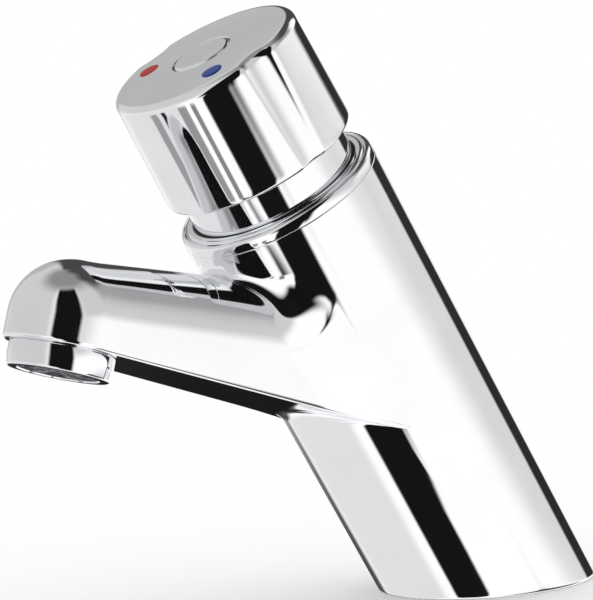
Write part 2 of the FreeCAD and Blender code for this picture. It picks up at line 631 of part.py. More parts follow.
def push_head():
    """The head: drafted wall, domed top, two finger scallops, hollow with a hub for the spindle."""
    body = new_body("push_head")
    shell = new_sketch(body, "XZ_Plane", "head_profile")
    seat = "(%s + skirt_seat)" % HEAD_FOOT
    socket = "(%s + fit_gap)" % SKIRT
    corners = [(socket, HEAD_FOOT), (HEAD_AT_FOOT, HEAD_FOOT),
               (HEAD_AT_RIM, HEAD_RIM), ("0", CROWN), ("0", HEAD_ROOF), (HEAD_HOLLOW, HEAD_ROOF),
               (HEAD_HOLLOW, seat), (socket, seat)]
    spots = [Vector(size(x), size(y), 0) for x, y in corners]
    wide = size(HEAD_AT_RIM)
    rise = size("crown_rise")
    bulge = spots[3] + Vector(wide / 2, -rise / 4, 0)
    for i in range(len(spots)):
        start, end = spots[i], spots[(i + 1) % len(spots)]
        shape = Part.Arc(start, bulge, end) if i == 2 else Part.LineSegment(start, end)
        shell.addGeometry(shape, False)
    for i in range(len(spots)):
        shell.addConstraint(Sketcher.Constraint("Coincident", i, 2, (i + 1) % len(spots), 1))
    for i, (x, y) in enumerate(corners):
        pin(shell, i, 1, x, y)
    shell.addConstraint(Sketcher.Constraint("PointOnObject", 2, 3, -2))
    revolve(body, "Revolution", shell)
    hub = new_sketch(body, "XY_Plane", "hub")
    ring_of(hub, "0", "0", "head_hub_radius")
    lifted(hub, "(%s - head_hub_drop)" % HEAD_ROOF)
    padded(body, hub, "head_hub_drop")
    for side in ("cold", "hot"):
        cut_scallop(body, side)
    grips = scallop_corners(body.Tip)
    soft = rounded(body, body.Tip, grips, "scallop_edge")
    rim = outline_edges(soft, HEAD_RIM, above=True)
    soft = rounded(body, soft, rim, "head_rim_edge")
    foot = outline_edges(soft, HEAD_FOOT, above=False)
    rounded(body, soft, foot, "head_foot_edge")
    turned(body, [("0", CAP_FLOOR), (CAP_RECESS, CAP_FLOOR), (CAP_RECESS, "(%s + cap_rise)" % CROWN),
                  ("0", "(%s + cap_rise)" % CROWN)], "cap_recess", "Groove")
    turned(body, [("0", SCREW_FLOOR), ("(screw_head_radius + fit_gap)", SCREW_FLOOR),
                  ("(screw_head_radius + fit_gap)", CAP_FLOOR), ("0", CAP_FLOOR)], "screw_recess", "Groove")
    turned(body, [("0", HEAD_ROOF), ("(screw_radius + fit_gap)", HEAD_ROOF),
                  ("(screw_radius + fit_gap)", SCREW_FLOOR), ("0", SCREW_FLOOR)], "screw_hole", "Groove")
    hex_hole = new_sketch(body, "XY_Plane", "spindle_socket")
    hexagon(hex_hole, "(hex_flats + 2 * fit_gap)")
    lifted(hex_hole, "(%s - head_hub_drop)" % HEAD_ROOF)
    drilled(body, hex_hole, "head_hub_drop")
    pockets = new_sketch(body, "XY_Plane", "dot_pockets")
    for way in ("", "-"):
        x, y = dot_place(way)
        ring_of(pockets, x, y, "(dot_radius + fit_gap)")
    lifted(pockets, "(%s - dot_height)" % DOT_TOP)
    drilled(body, pockets, "(dot_height + dot_sink + crown_rise)")
    leaning_with_head(body)
    keep(body, "push_head")


def dot_place(way):
    """Where a dot lies, by its angle from the front."""
    angle = "%sdot_angle * 1 deg" % way
    return "dot_circle * sin(%s)" % angle, "-dot_circle * cos(%s)" % angle


def cut_scallop(body, side):
    """A hollow that deepens towards the rim, as a loft between two circles."""
    angle = "(%sscallop_angle * 1 deg)" % ("" if side == "cold" else "-")
    sections = []
    for level, wall, depth, height in (
            ("foot", HEAD_AT_FOOT, "scallop_foot_depth", "(%s - scallop_over)" % HEAD_FOOT),
            ("rim", HEAD_AT_RIM, "scallop_depth", "(%s + scallop_over)" % CROWN)):
        sketch = new_sketch(body, "XY_Plane", "%s_scallop_%s" % (side, level))
        away = "(%s - %s + scallop_radius)" % (wall, depth)
        ring_of(sketch, "%s * sin(%s)" % (away, angle), "-%s * cos(%s)" % (away, angle), "scallop_radius")
        lifted(sketch, height)
        sections.append(sketch)
    cut = body.newObject("PartDesign::SubtractiveLoft", side + "_scallop")
    cut.Profile = sections[0]
    cut.Sections = [sections[1]]
    cut.Ruled = True
    doc.recompute()


def scallop_corners(feature):
    """The upright edges where a scallop meets the round wall."""
    names = []
    for number, edge in enumerate(feature.Shape.Edges, start=1):
        box = edge.BoundBox
        far = [Vector(v.X, v.Y, 0).Length for v in edge.Vertexes]
        tall = box.ZLength > 0.5 * size("head_height")
        if tall and min(far) > size(HEAD_HOLLOW) + 2 and len(edge.Vertexes) == 2 and not on_seam(edge):
            names.append("Edge%d" % number)
    return names


def on_seam(edge):
    """True for the line where the turned wall closes on itself."""
    return edge.BoundBox.YLength < 0.01 and abs(edge.BoundBox.YMin) < 0.01


def outline_edges(feature, height, above):
    """The outer edges that run round the top or the foot of the head."""
    names = []
    for number, edge in enumerate(feature.Shape.Edges, start=1):
        box = edge.BoundBox
        middle = edge.valueAt((edge.FirstParameter + edge.LastParameter) / 2)
        far = Vector(middle.x, middle.y, 0).Length
        near_rim = box.ZMin > size(height) - 0.6 if above else box.ZMax < size(height) + 0.6
        wall = size(HEAD_HOLLOW) + 1.0 if above else size(SKIRT) + 1.0
        if near_rim and far > wall and box.DiagonalLength > 0.5:
            names.append("Edge%d" % number)
    return names


def head_skirt():
    body = new_body("head_skirt")
    top = "(%s + skirt_seat)" % HEAD_FOOT
    turned(body, [(SKIRT_BORE, SKIRT_FOOT), (SKIRT, SKIRT_FOOT), (SKIRT, top), (SKIRT_BORE, top)],
           "skirt_profile")
    leaning_with_head(body)
    keep(body, "head_skirt")


def head_cap():
    body = new_body("head_cap")
    top = "(%s + cap_rise)" % CROWN
    solid = turned(body, [("0", CAP_FLOOR), ("cap_radius", CAP_FLOOR), ("cap_radius", top), ("0", top)],
                   "cap_profile")
    rounded(body, solid, rim_edges(solid, "cap_radius", top), "cap_edge")
    leaning_with_head(body)
    keep(body, "head_cap")


def marker_dot(name, way):
    body = new_body(name)
    sketch = new_sketch(body, "XY_Plane", name + "_outline")
    x, y = dot_place(way)
    ring_of(sketch, x, y, "dot_radius")
    lifted(sketch, "(%s - dot_height)" % DOT_TOP)
    padded(body, sketch, "dot_height")
    leaning_with_head(body)
    keep(body, name)


def head_screw():
    body = new_body("head_screw")
    low = "(%s - screw_grip)" % HEAD_ROOF
    top = "(%s + screw_head_height)" % SCREW_FLOOR
    turned(body, [("0", low), ("screw_radius", low), ("screw_radius", SCREW_FLOOR),
                  ("screw_head_radius", SCREW_FLOOR), ("screw_head_radius", top), ("0", top)],
           "screw_profile")
    drive = new_sketch(body, "XY_Plane", "screw_drive")
    hexagon(drive, "screw_radius * 1.6")
    lifted(drive, "(%s + screw_head_height / 3)" % SCREW_FLOOR)
    drilled(body, drive, "screw_head_height")
    leaning_with_head(body)
    keep(body, "head_screw")


def spindle():
    body = new_body("spindle")
    low = "(%s - stem_foot)" % HOLDER_LOW
    turned(body, [("0", low), ("stem_radius", low), ("stem_radius", PISTON_TOP), ("0", PISTON_TOP)],
           "stem_profile")
    bar = new_sketch(body, "XY_Plane", "spindle_bar")
    hexagon(bar, "hex_flats")
    lifted(bar, PISTON_TOP)
    padded(body, bar, "(%s - %s)" % (HEAD_ROOF, PISTON_TOP))
    low = "(%s - screw_grip - 1)" % HEAD_ROOF
    turned(body, [("0", low), ("(screw_radius + fit_gap)", low), ("(screw_radius + fit_gap)", HEAD_ROOF),
                  ("0", HEAD_ROOF)], "spindle_thread", "Groove")
    leaning_with_head(body)
    keep(body, "spindle")


def cartridge_housing():
    body = new_body("cartridge_housing")
    outer = HOUSING
    low = "(%s - port_belt)" % PORT
    high = "(%s + port_belt)" % PORT
    belt = "(%s + port_wall)" % HOUSING_BORE
    flange = SPIGOT
    step = "(%s + disc_gap)" % DISC
    turned(body, [(outer, CHAMBER_FLOOR)] + groove_corners(outer, HOUSING_RINGS[0], HOUSING_RING)
           + [(outer, low), (belt, low), (belt, high), (outer, high)]
           + groove_corners(outer, HOUSING_RINGS[1], HOUSING_RING)
           + [(outer, FLANGE_LOW), (flange, FLANGE_LOW), (flange, HOUSING_TOP), (HOUSING_BORE, HOUSING_TOP),
              (HOUSING_BORE, HOUSING_STEP), (step, HOUSING_STEP), (step, CHAMBER_FLOOR)], "housing_profile")
    cross_ports(body, "housing_ports")
    leaning(body)
    keep(body, "cartridge_housing")


def cross_ports(body, name):
    """Four round ports through the wall, at right angles."""
    for role in ("XZ_Plane", "YZ_Plane"):
        sketch = new_sketch(body, role, name + role[:2].lower())
        ring_of(sketch, "0", PORT, "port_radius")
        before = body.Shape.Volume
        pocket = body.newObject("PartDesign::Pocket", sketch.Name + "_cut")
        pocket.Profile = sketch
        pocket.Type = 1
        pocket.Midplane = True
        doc.recompute()
        if not body.Shape.Volume < before - 0.01:
            raise RuntimeError(name + " cuts nothing")


def octagon(across, along, reach):
    """Corners of an eight-sided section, with flats at its sides, top and bottom."""
    corners = []
    for step in range(OCTAGON):
        turn = "((%d + 0.5) * 360 / %d * 1 deg)" % (step, OCTAGON)
        corners.append(("(%s + %s * cos(%s))" % (across, reach, turn),
                        "(%s + %s * sin(%s))" % (along, reach, turn)))
    return corners


def squeezed_rings(name, radius, heights):
    """O-rings round the axis. Their section has eight sides, flat where the groove squeezes it."""
    rings = []
    reach = "oring_section / cos(180 / %d * 1 deg)" % OCTAGON
    for number, height in enumerate(heights, start=1):
        ring = new_body("%s_%d" % (name, number))
        turned(ring, octagon(radius, height, reach), ring.Name + "_section")
        rings.append(ring)
    group = doc.addObject("Part::Compound", name)
    group.Links = rings
    doc.recompute()
    leaning(group)
    keep(group, name)


def inlet_seals():
    body = doc.addObject("Part::Compound", "inlet_seals")
    seals = []
    for number, way in enumerate(("", "-"), start=1):
        outer = doc.addObject("Part::Cylinder", "seal_outer_%d" % number)
        inner = doc.addObject("Part::Cylinder", "seal_inner_%d" % number)
        tie(outer, "Radius", "(passage_radius + seal_wall)")
        tie(inner, "Radius", "passage_radius")
        for solid in (outer, inner):
            tie(solid, "Height", "seal_height")
            tie(solid, "Placement.Base.x", way + "inlet_spread")
            tie(solid, "Placement.Base.z", CHAMBER_FLOOR)
        ring = doc.addObject("Part::Cut", "inlet_seal_%d" % number)
        ring.Base = outer
        ring.Tool = inner
        seals.append(ring)
    body.Links = seals
    doc.recompute()
    leaning(body)
    keep(body, "inlet_seals")


def fixed_disc():
    body = new_body("fixed_disc")
    turned(body, [("0", DISC_LOW), (DISC, DISC_LOW), (DISC, DISC_SPLIT), ("0", DISC_SPLIT)],
           "fixed_disc_profile")
    ports = new_sketch(body, "XY_Plane", "disc_ports")
    for way in ("", "-"):
        ring_of(ports, way + "inlet_spread", "0", "disc_port_radius")
    lifted(ports, DISC_LOW)
    drilled(body, ports, "disc_height")
    leaning(body)
    keep(body, "fixed_disc")


def sector(sketch, inner, outer, half_angle, toward_front=True):
    """A curved slot between two radii, even about the V axis."""
    sign = "-" if toward_front else ""
    sine = "sin(%s * 1 deg)" % half_angle
    cosine = "cos(%s * 1 deg)" % half_angle
    spots = []
    texts = []
    for radius in (inner, outer):
        for way in ("-", ""):
            texts.append(("%s%s * %s" % (way, radius, sine), "%s%s * %s" % (sign, radius, cosine)))
            spots.append(Vector(size(texts[-1][0]), size(texts[-1][1]), 0))
    middle = -1 if toward_front else 1
    low_arc = Part.Arc(spots[0], Vector(0, middle * size(inner), 0), spots[1])
    high_arc = Part.Arc(spots[2], Vector(0, middle * size(outer), 0), spots[3])
    sketch.addGeometry([low_arc, high_arc], False)
    sketch.addGeometry([Part.LineSegment(spots[0], spots[2]), Part.LineSegment(spots[1], spots[3])], False)
    first, last = (1, 2) if toward_front else (2, 1)
    for arc, spot in ((0, 1), (1, 2)):
        sketch.addConstraint(Sketcher.Constraint("Coincident", arc, first, 2, spot))
        sketch.addConstraint(Sketcher.Constraint("Coincident", arc, last, 3, spot))
        sketch.addConstraint(Sketcher.Constraint("DistanceY", -1, 1, arc, 3, 0.0))
    pin(sketch, 2, 1, *texts[0])
    pin(sketch, 2, 2, *texts[2])
    pin(sketch, 3, 1, *texts[1])
    pin(sketch, 3, 2, *texts[3])


def turning_disc():
    body = new_body("turning_disc")
    turned(body, [("0", TURN_LOW), (DISC, TURN_LOW), (DISC, SLEEVE_FOOT), ("0", SLEEVE_FOOT)],
           "turning_disc_profile")
    slot = new_sketch(body, "XY_Plane", "mixing_slot")
    sector(slot, "(inlet_spread - disc_port_radius)", "(inlet_spread + disc_port_radius)", "slot_half_angle")
    lifted(slot, TURN_LOW)
    drilled(body, slot, "disc_height")
    leaning_with_head(body)
    keep(body, "turning_disc")


def turning_sleeve():
    """Turned by the spindle: carries the upper disc, the seat and the timing chamber."""
    body = new_body("turning_sleeve")
    outer = SLEEVE
    bore = "sleeve_bore"
    belt = "(%s - port_wall)" % SLEEVE
    belt_low = "(%s - port_belt)" % PORT
    belt_high = "(%s + port_belt)" % PORT
    stem = "(stem_radius + stem_gap)"
    turned(body, [
        (bore, SLEEVE_FOOT), (DISC, SLEEVE_FOOT), (DISC, SLEEVE_STEP), (outer, SLEEVE_STEP)]
        + groove_corners(outer, SLEEVE_RINGS[0], SLEEVE_RING)
        + [(outer, belt_low), (belt, belt_low), (belt, belt_high), (outer, belt_high)]
        + groove_corners(outer, SLEEVE_RINGS[1], SLEEVE_RING)
        + [(outer, SLEEVE_TOP), (bore, SLEEVE_TOP), (bore, PARTITION_TOP), (stem, PARTITION_TOP),
           (stem, PARTITION), (bore, PARTITION), (bore, SEAT_TOP), ("seat_radius", SEAT_TOP),
           ("seat_radius", SEAT), (bore, SEAT)], "sleeve_profile")
    cross_ports(body, "sleeve_ports")
    lug = new_sketch(body, "XY_Plane", "stop_lug")
    sector(lug, "(sleeve_bore + lug_inset)", "(%s - sleeve_gap)" % STOP, "lug_half_angle")
    lifted(lug, SLEEVE_TOP)
    padded(body, lug, "lug_height")
    leaning_with_head(body)
    keep(body, "turning_sleeve")


def temperature_stop():
    body = new_body("temperature_stop")
    ring = new_sketch(body, "XY_Plane", "stop_ring")
    sector(ring, "(%s + 2 * sleeve_gap)" % SLEEVE, STOP,
           "(180 - turn_limit - lug_half_angle - stop_play)", toward_front=False)
    lifted(ring, HOUSING_TOP)
    padded(body, ring, "stop_height")
    leaning(body)
    keep(body, "temperature_stop")


def sleeve_cap():
    body = new_body("sleeve_cap")
    plug = "(sleeve_bore - fit_gap)"
    flange = "(sleeve_bore + lug_inset - sleeve_gap)"
    top = "(%s + cap_flange_height)" % SLEEVE_TOP
    turned(body, [("0", SLEEVE_CAP_LOW), (plug, SLEEVE_CAP_LOW), (plug, SLEEVE_TOP),
                  (flange, SLEEVE_TOP), (flange, top), ("0", top)], "sleeve_cap_profile")
    hole = new_sketch(body, "XY_Plane", "sleeve_cap_hole")
    hexagon(hole, "(hex_flats + 2 * hex_gap)")
    lifted(hole, SLEEVE_CAP_LOW)
    drilled(body, hole, "(cap_plug_height + cap_flange_height)")
    leaning_with_head(body)
    keep(body, "sleeve_cap")


def spring_plate():
    body = new_body("spring_plate")
    outer = "(sleeve_bore - fit_gap)"
    turned(body, [("0", SLEEVE_FOOT), (outer, SLEEVE_FOOT), (outer, PLATE_TOP), ("0", PLATE_TOP)],
           "plate_profile")
    hole = new_sketch(body, "XY_Plane", "plate_hole")
    ring_of(hole, "0", "plate_hole_circle", "plate_hole_radius")
    lifted(hole, SLEEVE_FOOT)
    cut = drilled(body, hole, "plate_height")
    repeated(body, cut, "plate_holes", PLATE_HOLES)
    leaning_with_head(body)
    keep(body, "spring_plate")


def repeated(body, feature, name, count):
    """Repeats a cut round the axis."""
    before = body.Shape.Volume
    pattern = body.newObject("PartDesign::PolarPattern", name)
    pattern.Originals = [feature]
    pattern.Axis = (next(f for f in body.Origin.OriginFeatures if f.Role == "Z_Axis"), [""])
    pattern.Angle = 360
    pattern.Occurrences = count
    body.Tip = pattern
    doc.recompute()
    if not body.Shape.Volume < before - 0.01:
        raise RuntimeError(name + " cuts nothing")


def return_spring():
    body = new_body("return_spring")
    wire = new_sketch(body, "XZ_Plane", "spring_wire")
    polygon(wire, octagon("coil_radius", "(%s + wire_radius + fit_gap)" % PLATE_TOP, "wire_radius"))
    coil = body.newObject("PartDesign::AdditiveHelix", "spring_coil")
    coil.Profile = wire
    coil.ReferenceAxis = (wire, ["V_Axis"])
    coil.Mode = 2
    length = "(%s - %s - 2 * wire_radius - 2 * fit_gap)" % (HOLDER_LOW, PLATE_TOP)
    coil.Height = size(length)
    tie(coil, "Height", length)
    coil.Turns = size("coil_turns")
    tie(coil, "Turns", "coil_turns")
    doc.recompute()
    leaning_with_head(body)
    keep(body, "return_spring")


def ring_piece(name, inner, outer, low, high):
    """A plain ring or disc with a hole, turned from a four-cornered outline."""
    body = new_body(name)
    turned(body, [(inner, low), (outer, low), (outer, high), (inner, high)], name + "_profile")
    leaning_with_head(body)
    keep(body, name)


def timing_piston():
    body = new_body("timing_piston")
    outer = "(sleeve_bore - sleeve_gap)"
    floor = "(sleeve_bore - sleeve_gap - piston_groove)"
    low = "(%s + piston_land)" % PISTON_LOW
    high = "(%s - piston_land)" % PISTON_TOP
    turned(body, [("(stem_radius + fit_gap)", PISTON_LOW), (outer, PISTON_LOW), (outer, low), (floor, low),
                  (floor, high), (outer, high), (outer, PISTON_TOP), ("(stem_radius + fit_gap)", PISTON_TOP)],
           "piston_profile")
    leaning_with_head(body)
    keep(body, "timing_piston")


def outlet_piece(name, corners):
    """A piece turned about the outlet's axis."""
    body = new_body(name)
    on_outlet(body, corners, name + "_profile", "Revolution")
    return body


OUTLET_TOP = "(outlet_thread_depth - washer_height)"
INSERT_LOW = "(outlet_lip - outlet_ring_height)"
INSERT_TOP = "(%s + insert_height)" % INSERT_LOW


def aerator_housing():
    mouth = "(outlet_ring_radius - outlet_ring_taper)"
    spigot = "(outlet_thread_radius - fit_gap)"
    lip = "(outlet_ring_bore - outlet_lip)"
    body = outlet_piece("aerator_housing", [
        (lip, "-outlet_ring_height"), (mouth, "-outlet_ring_height"),
        ("outlet_ring_radius", "-outlet_ring_height / 2"), ("outlet_ring_radius", "0"), (spigot, "0"),
        (spigot, OUTLET_TOP), ("outlet_ring_bore", OUTLET_TOP), ("outlet_ring_bore", INSERT_LOW),
        (lip, INSERT_LOW)])
    keep(body, "aerator_housing")


def outlet_plane(body, name, height):
    """A sketch square to the outlet's axis, at a height above the underside."""
    sketch = new_sketch(body, "XY_Plane", name)
    sketch.AttachmentOffset = Placement(Vector(), Rotation(Vector(-1, 0, 0), size("outlet_tilt")))
    tie(sketch, "AttachmentOffset.Rotation.Angle", "outlet_tilt * 1 deg")
    tie(sketch, "AttachmentOffset.Base.y", "-outlet_reach + %s * sin(outlet_tilt * 1 deg)" % height)
    tie(sketch, "AttachmentOffset.Base.z", "outlet_height + %s * cos(outlet_tilt * 1 deg)" % height)
    return sketch


def aerator_insert():
    """Grey insert: a rim, a hub and two rings of slots between fine ribs."""
    outside = "(outlet_ring_bore - fit_gap)"
    body = outlet_piece("aerator_insert", [
        ("0", INSERT_LOW), (outside, INSERT_LOW), (outside, INSERT_TOP), ("0", INSERT_TOP)])
    slots = outlet_plane(body, "insert_slots", INSERT_LOW)
    for ring, (inner, outer) in enumerate((("insert_hub", "insert_mid"),
                                           ("(insert_mid + insert_rib)", "(outlet_ring_bore - insert_rim)"))):
        for number in range(INSERT_SLOTS):
            slot_outline(slots, inner, outer, number)
    drilled(body, slots, "insert_height")
    keep(body, "aerator_insert")


def slot_outline(sketch, inner, outer, number):
    """One four-sided slot of a ring of slots, with a rib of even width beside it."""
    turn = "(360 / %d * %d)" % (INSERT_SLOTS, number)
    half = "(180 / %d)" % INSERT_SLOTS
    corners = []
    for radius, way, back in ((inner, "-", "+"), (outer, "-", "+"), (outer, "+", "-"), (inner, "+", "-")):
        rib = "insert_rib / 2 / %s * 180 / pi" % radius
        angle = "((%s %s %s %s %s) * 1 deg)" % (turn, way, half, back, rib)
        corners.append(("%s * cos(%s)" % (radius, angle), "%s * sin(%s)" % (radius, angle)))
    polygon(sketch, corners)


def flow_regulator():
    body = outlet_piece("flow_regulator", [
        ("0", INSERT_TOP), ("(outlet_ring_bore - fit_gap)", INSERT_TOP),
        ("(outlet_ring_bore - fit_gap)", "(%s + regulator_height)" % INSERT_TOP),
        ("0", "(%s + regulator_height)" % INSERT_TOP)])
    holes = outlet_plane(body, "regulator_holes", INSERT_TOP)
    for number in range(REGULATOR_HOLES):
        turn = "(360 / %d * %d * 1 deg)" % (REGULATOR_HOLES, number)
        x, y = "regulator_circle * cos(%s)" % turn, "regulator_circle * sin(%s)" % turn
        ring_of(holes, x, y, "regulator_hole")
    drilled(body, holes, "regulator_height")
    keep(body, "flow_regulator")


def aerator_washer():
    body = outlet_piece("aerator_washer", [
        ("(outlet_ring_bore - outlet_lip)", OUTLET_TOP), ("(outlet_thread_radius - fit_gap)", OUTLET_TOP),
        ("(outlet_thread_radius - fit_gap)", "outlet_thread_depth"),
        ("(outlet_ring_bore - outlet_lip)", "outlet_thread_depth")])
    keep(body, "aerator_washer")


def base_gasket():
    body = new_body("base_gasket")
    ring = new_sketch(body, "XY_Plane", "gasket_outline")
    ring_of(ring, "0", "0", "(barrel_radius - gasket_inset - fit_gap)")
    ring_of(ring, "0", "0", "(barrel_radius - gasket_inset - gasket_width + fit_gap)")
    padded(body, ring, "gasket_height")
    keep(body, "base_gasket")


tap_body()
bezel_ring()
wiper_seal()
push_head()
head_skirt()
head_cap()
marker_dot("hot_dot", "-")
marker_dot("cold_dot", "")
head_screw()
spindle()
cartridge_housing()
squeezed_rings("housing_o_rings", HOUSING_RING, HOUSING_RINGS)
inlet_seals()
fixed_disc()
turning_disc()
turning_sleeve()
squeezed_rings("sleeve_o_rings", SLEEVE_RING, SLEEVE_RINGS)
temperature_stop()
sleeve_cap()
spring_plate()
return_spring()
ring_piece("valve_holder", "(stem_radius + fit_gap)", "valve_radius", HOLDER_LOW, WASHER_LOW)
ring_piece("valve_washer", "(stem_radius + fit_gap)", "valve_radius", WASHER_LOW, WASHER_TOP)
timing_piston()
ring_piece("piston_seal", "(sleeve_bore - sleeve_gap - piston_groove + fit_gap)",
           "(sleeve_bore - sleeve_gap / 2)", "(%s + piston_land + fit_gap)" % PISTON_LOW,
           "(%s - piston_land - fit_gap)" % PISTON_TOP)
aerator_housing()
aerator_insert()
flow_regulator()
aerator_washer()
base_gasket()

doc.recompute()
for thing in doc.Objects:
    if "Invalid" in thing.State or "Error" in thing.State:
        raise RuntimeError("%s did not build: %s" % (thing.Name, thing.State))
os.makedirs("parts", exist_ok=True)
for name, thing in NODES:
    if thing.Shape.isNull() or not thing.Shape.isValid():
        raise RuntimeError(name + " has no valid shape")
    thing.Shape.exportStep("parts/%s.step" % name)
    print("%-20s solids %d  volume %9.1f mm3" % (name, len(thing.Shape.Solids), thing.Shape.Volume))
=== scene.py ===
import json
import math
from collections import namedtuple

import bmesh
import bpy
import numpy as np
from mathutils import Matrix


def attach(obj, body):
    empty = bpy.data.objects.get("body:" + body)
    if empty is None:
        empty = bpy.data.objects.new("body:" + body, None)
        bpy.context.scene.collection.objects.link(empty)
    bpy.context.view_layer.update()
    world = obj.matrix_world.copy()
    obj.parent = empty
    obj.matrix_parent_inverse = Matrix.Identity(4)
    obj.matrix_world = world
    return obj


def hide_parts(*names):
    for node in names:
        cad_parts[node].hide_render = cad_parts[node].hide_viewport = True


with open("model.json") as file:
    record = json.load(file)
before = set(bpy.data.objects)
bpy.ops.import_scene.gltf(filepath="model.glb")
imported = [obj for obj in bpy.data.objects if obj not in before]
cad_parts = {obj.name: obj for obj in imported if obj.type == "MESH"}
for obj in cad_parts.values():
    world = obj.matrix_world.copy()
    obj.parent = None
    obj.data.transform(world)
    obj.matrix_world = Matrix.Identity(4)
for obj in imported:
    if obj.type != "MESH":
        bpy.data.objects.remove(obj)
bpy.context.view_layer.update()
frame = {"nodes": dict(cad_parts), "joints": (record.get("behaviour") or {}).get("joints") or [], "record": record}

MM = 0.001
RIGHT = np.array([1.0, 0.0, 0.0])
UP = np.array([0.0, 0.0, 1.0])


def unit(vectors):
    """Vectors scaled to length one."""
    return vectors / np.linalg.norm(vectors, axis=-1, keepdims=True)


def named(rows, name):
    """The one of the frame's rows that has this name."""
    return next(row for row in rows if row["name"] == name)


AXIS = unit(np.array(named(frame["joints"], "temperature_turn")["axis"], float))
FRONT = np.cross(RIGHT, AXIS)
SIN_LEAN, COS_LEAN = -AXIS[1], AXIS[2]

outlet = named(frame["record"]["mounts"], "outlet")
COLLAR = 5.4
STREAM_UP = -unit(np.array(outlet["axis"], float))
INWARD = np.cross(STREAM_UP, RIGHT)
OUTLET = np.array(outlet["pos_m"], float) / MM + COLLAR * STREAM_UP

Span = namedtuple("Span", "low high inner outer")


def measured(node, origin=np.zeros(3), axis=AXIS):
    """Heights along an axis and distances from it that a CAD node spans."""
    mesh = frame["nodes"][node].data
    points = np.empty(3 * len(mesh.vertices))
    mesh.vertices.foreach_get("co", points)
    points = points.reshape(-1, 3) / MM - origin
    along = points @ axis
    away = np.linalg.norm(points - np.outer(along, axis), axis=1)
    return Span(along.min(), along.max(), away.min(), away.max())


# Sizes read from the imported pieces.
bezel = measured("bezel_ring")
head = measured("push_head")
skirt = measured("head_skirt")
cap = measured("head_cap")
wiper = measured("wiper_seal")
collar = measured("aerator_housing", OUTLET, STREAM_UP)


# Shared tools for profiles and grids.

def from_axis(points):
    """The part of a point's place that is square to the barrel's axis."""
    return points - (points @ AXIS)[..., None] * AXIS


def on_barrel(angle, height, radius):
    """A point round the barrel's axis, by its angle from the front."""
    angle, height, radius = np.broadcast_arrays(angle, height, radius)
    ray = np.sin(angle)[..., None] * RIGHT + np.cos(angle)[..., None] * FRONT
    return height[..., None] * AXIS + radius[..., None] * ray


def turned(profile, angles):
    """A profile of (radius, height) turned about the barrel's axis through the given angles."""
    radius, height = np.array(profile, float).T
    return on_barrel(angles[:, None], height[None, :], radius[None, :])


def full_turn(profile, steps=320):
    """A profile of (radius, height) turned all the way round the barrel's axis."""
    return [turned(profile, np.linspace(0, 2 * np.pi, steps + 1))]


def corner_round(centre, radius, start, end, steps=8):
    """Points of an arc in a profile, angles in degrees from outwards towards up."""
    angles = np.radians(np.linspace(start, end, steps + 1))
    return [(centre[0] + radius * math.cos(a), centre[1] + radius * math.sin(a)) for a in angles]


def conic(start, corner, end, share):
    """Points along a conic through start and end that leaves along start-corner and arrives along
    corner-end. Its weight is the cosine of half the turn, which makes it a circle where it can be."""
    turn = (unit(corner - start) * unit(end - corner)).sum(-1)
    weight = np.sqrt((1 + turn) / 2)[..., None, None]
    q = share[:, None]
    near, mid, far = (1 - q) ** 2, 2 * weight * q * (1 - q), q ** 2
    top = near * start[..., None, :] + mid * corner[..., None, :] + far * end[..., None, :]
    return top / (near + mid + far)


def smooth(value, start, end):
    """Smooth step from 0 at start to 1 at end: three times the share squared, less twice its cube."""
    q = np.clip((value - start) / (end - start), 0, 1)
    return q ** 2 * (3 - 2 * q)


def spaced(*spans):
    """Numbers through several stretches, each (end, steps), starting at 0."""
    out = [0.0]
    for end, steps in spans:
        out.extend(np.linspace(out[-1], end, steps + 1)[1:])
    return np.array(out)


def mirrored(patches):
    """Patches and their mirror images across the middle plane."""
    return patches + [patch * np.array([-1.0, 1.0, 1.0]) for patch in patches]


# The spout. Its section runs from the middle of the underside, at s = 0, to the crown, at s = 1.
# It is TIP wide each side and SPRING high at the flank over the outlet, and grows from there with
# the run towards the barrel, in mm per mm, after easing in over EASE each side of the outlet.

FLOOR_END, EDGE_END, FLANK_END = 0.16, 0.26, 0.55
TIP = 13.0
SPRING = 6.2
WIDENING = 3.5 / 80
RISING = 8.5 / 80
SPOUT_EDGE = 0.9
EASE = 6.0
TIP_COLUMNS = 40


def bow_angle(s):
    """Turn of the quarter circle between flank and crown, in radians."""
    return np.clip((s - FLANK_END) / (1 - FLANK_END), 0, 1) * np.pi / 2


def arch(s, half_width, spring, deep=False):
    """Right half of the spout's section, as (across, up): flat underside, quarter circle at the
    lower edge, upright flank, quarter circle up to the crown, over s from 0 to 1. The deep form
    carries the flank straight on below the edge instead."""
    flat = np.clip(s / FLOOR_END, 0, 1) * (half_width - SPOUT_EDGE)
    turn = np.clip((s - FLOOR_END) / (EDGE_END - FLOOR_END), 0, 1) * np.pi / 2
    climb = np.clip((s - EDGE_END) / (FLANK_END - EDGE_END), -np.inf if deep else 0, 1)
    bow = bow_angle(s)
    if deep:
        flat, turn = half_width - SPOUT_EDGE, np.pi / 2
    across = flat + SPOUT_EDGE * np.sin(turn) - half_width * (1 - np.cos(bow))
    up = SPOUT_EDGE * (1 - np.cos(turn)) + climb * (spring - SPOUT_EDGE) + half_width * np.sin(bow)
    return across, up


def eased(run):
    """Zero before the tip, the run itself behind it, with a parabola between."""
    near = np.clip(run, -EASE, EASE)
    return np.where(run < -EASE, 0, np.where(run > EASE, run, (near + EASE) ** 2 / (4 * EASE)))


def section_at(s, run, deep=False):
    """The section's (across, up) at a run from the outlet's axis, grown with the eased run."""
    return arch(s, TIP + WIDENING * eased(run), SPRING + RISING * eased(run), deep)


def from_outlet(across, inward, up):
    """A point by its distances from the outlet: to the right, towards the barrel and up."""
    return OUTLET + across[..., None] * RIGHT + inward[..., None] * INWARD + up[..., None] * STREAM_UP


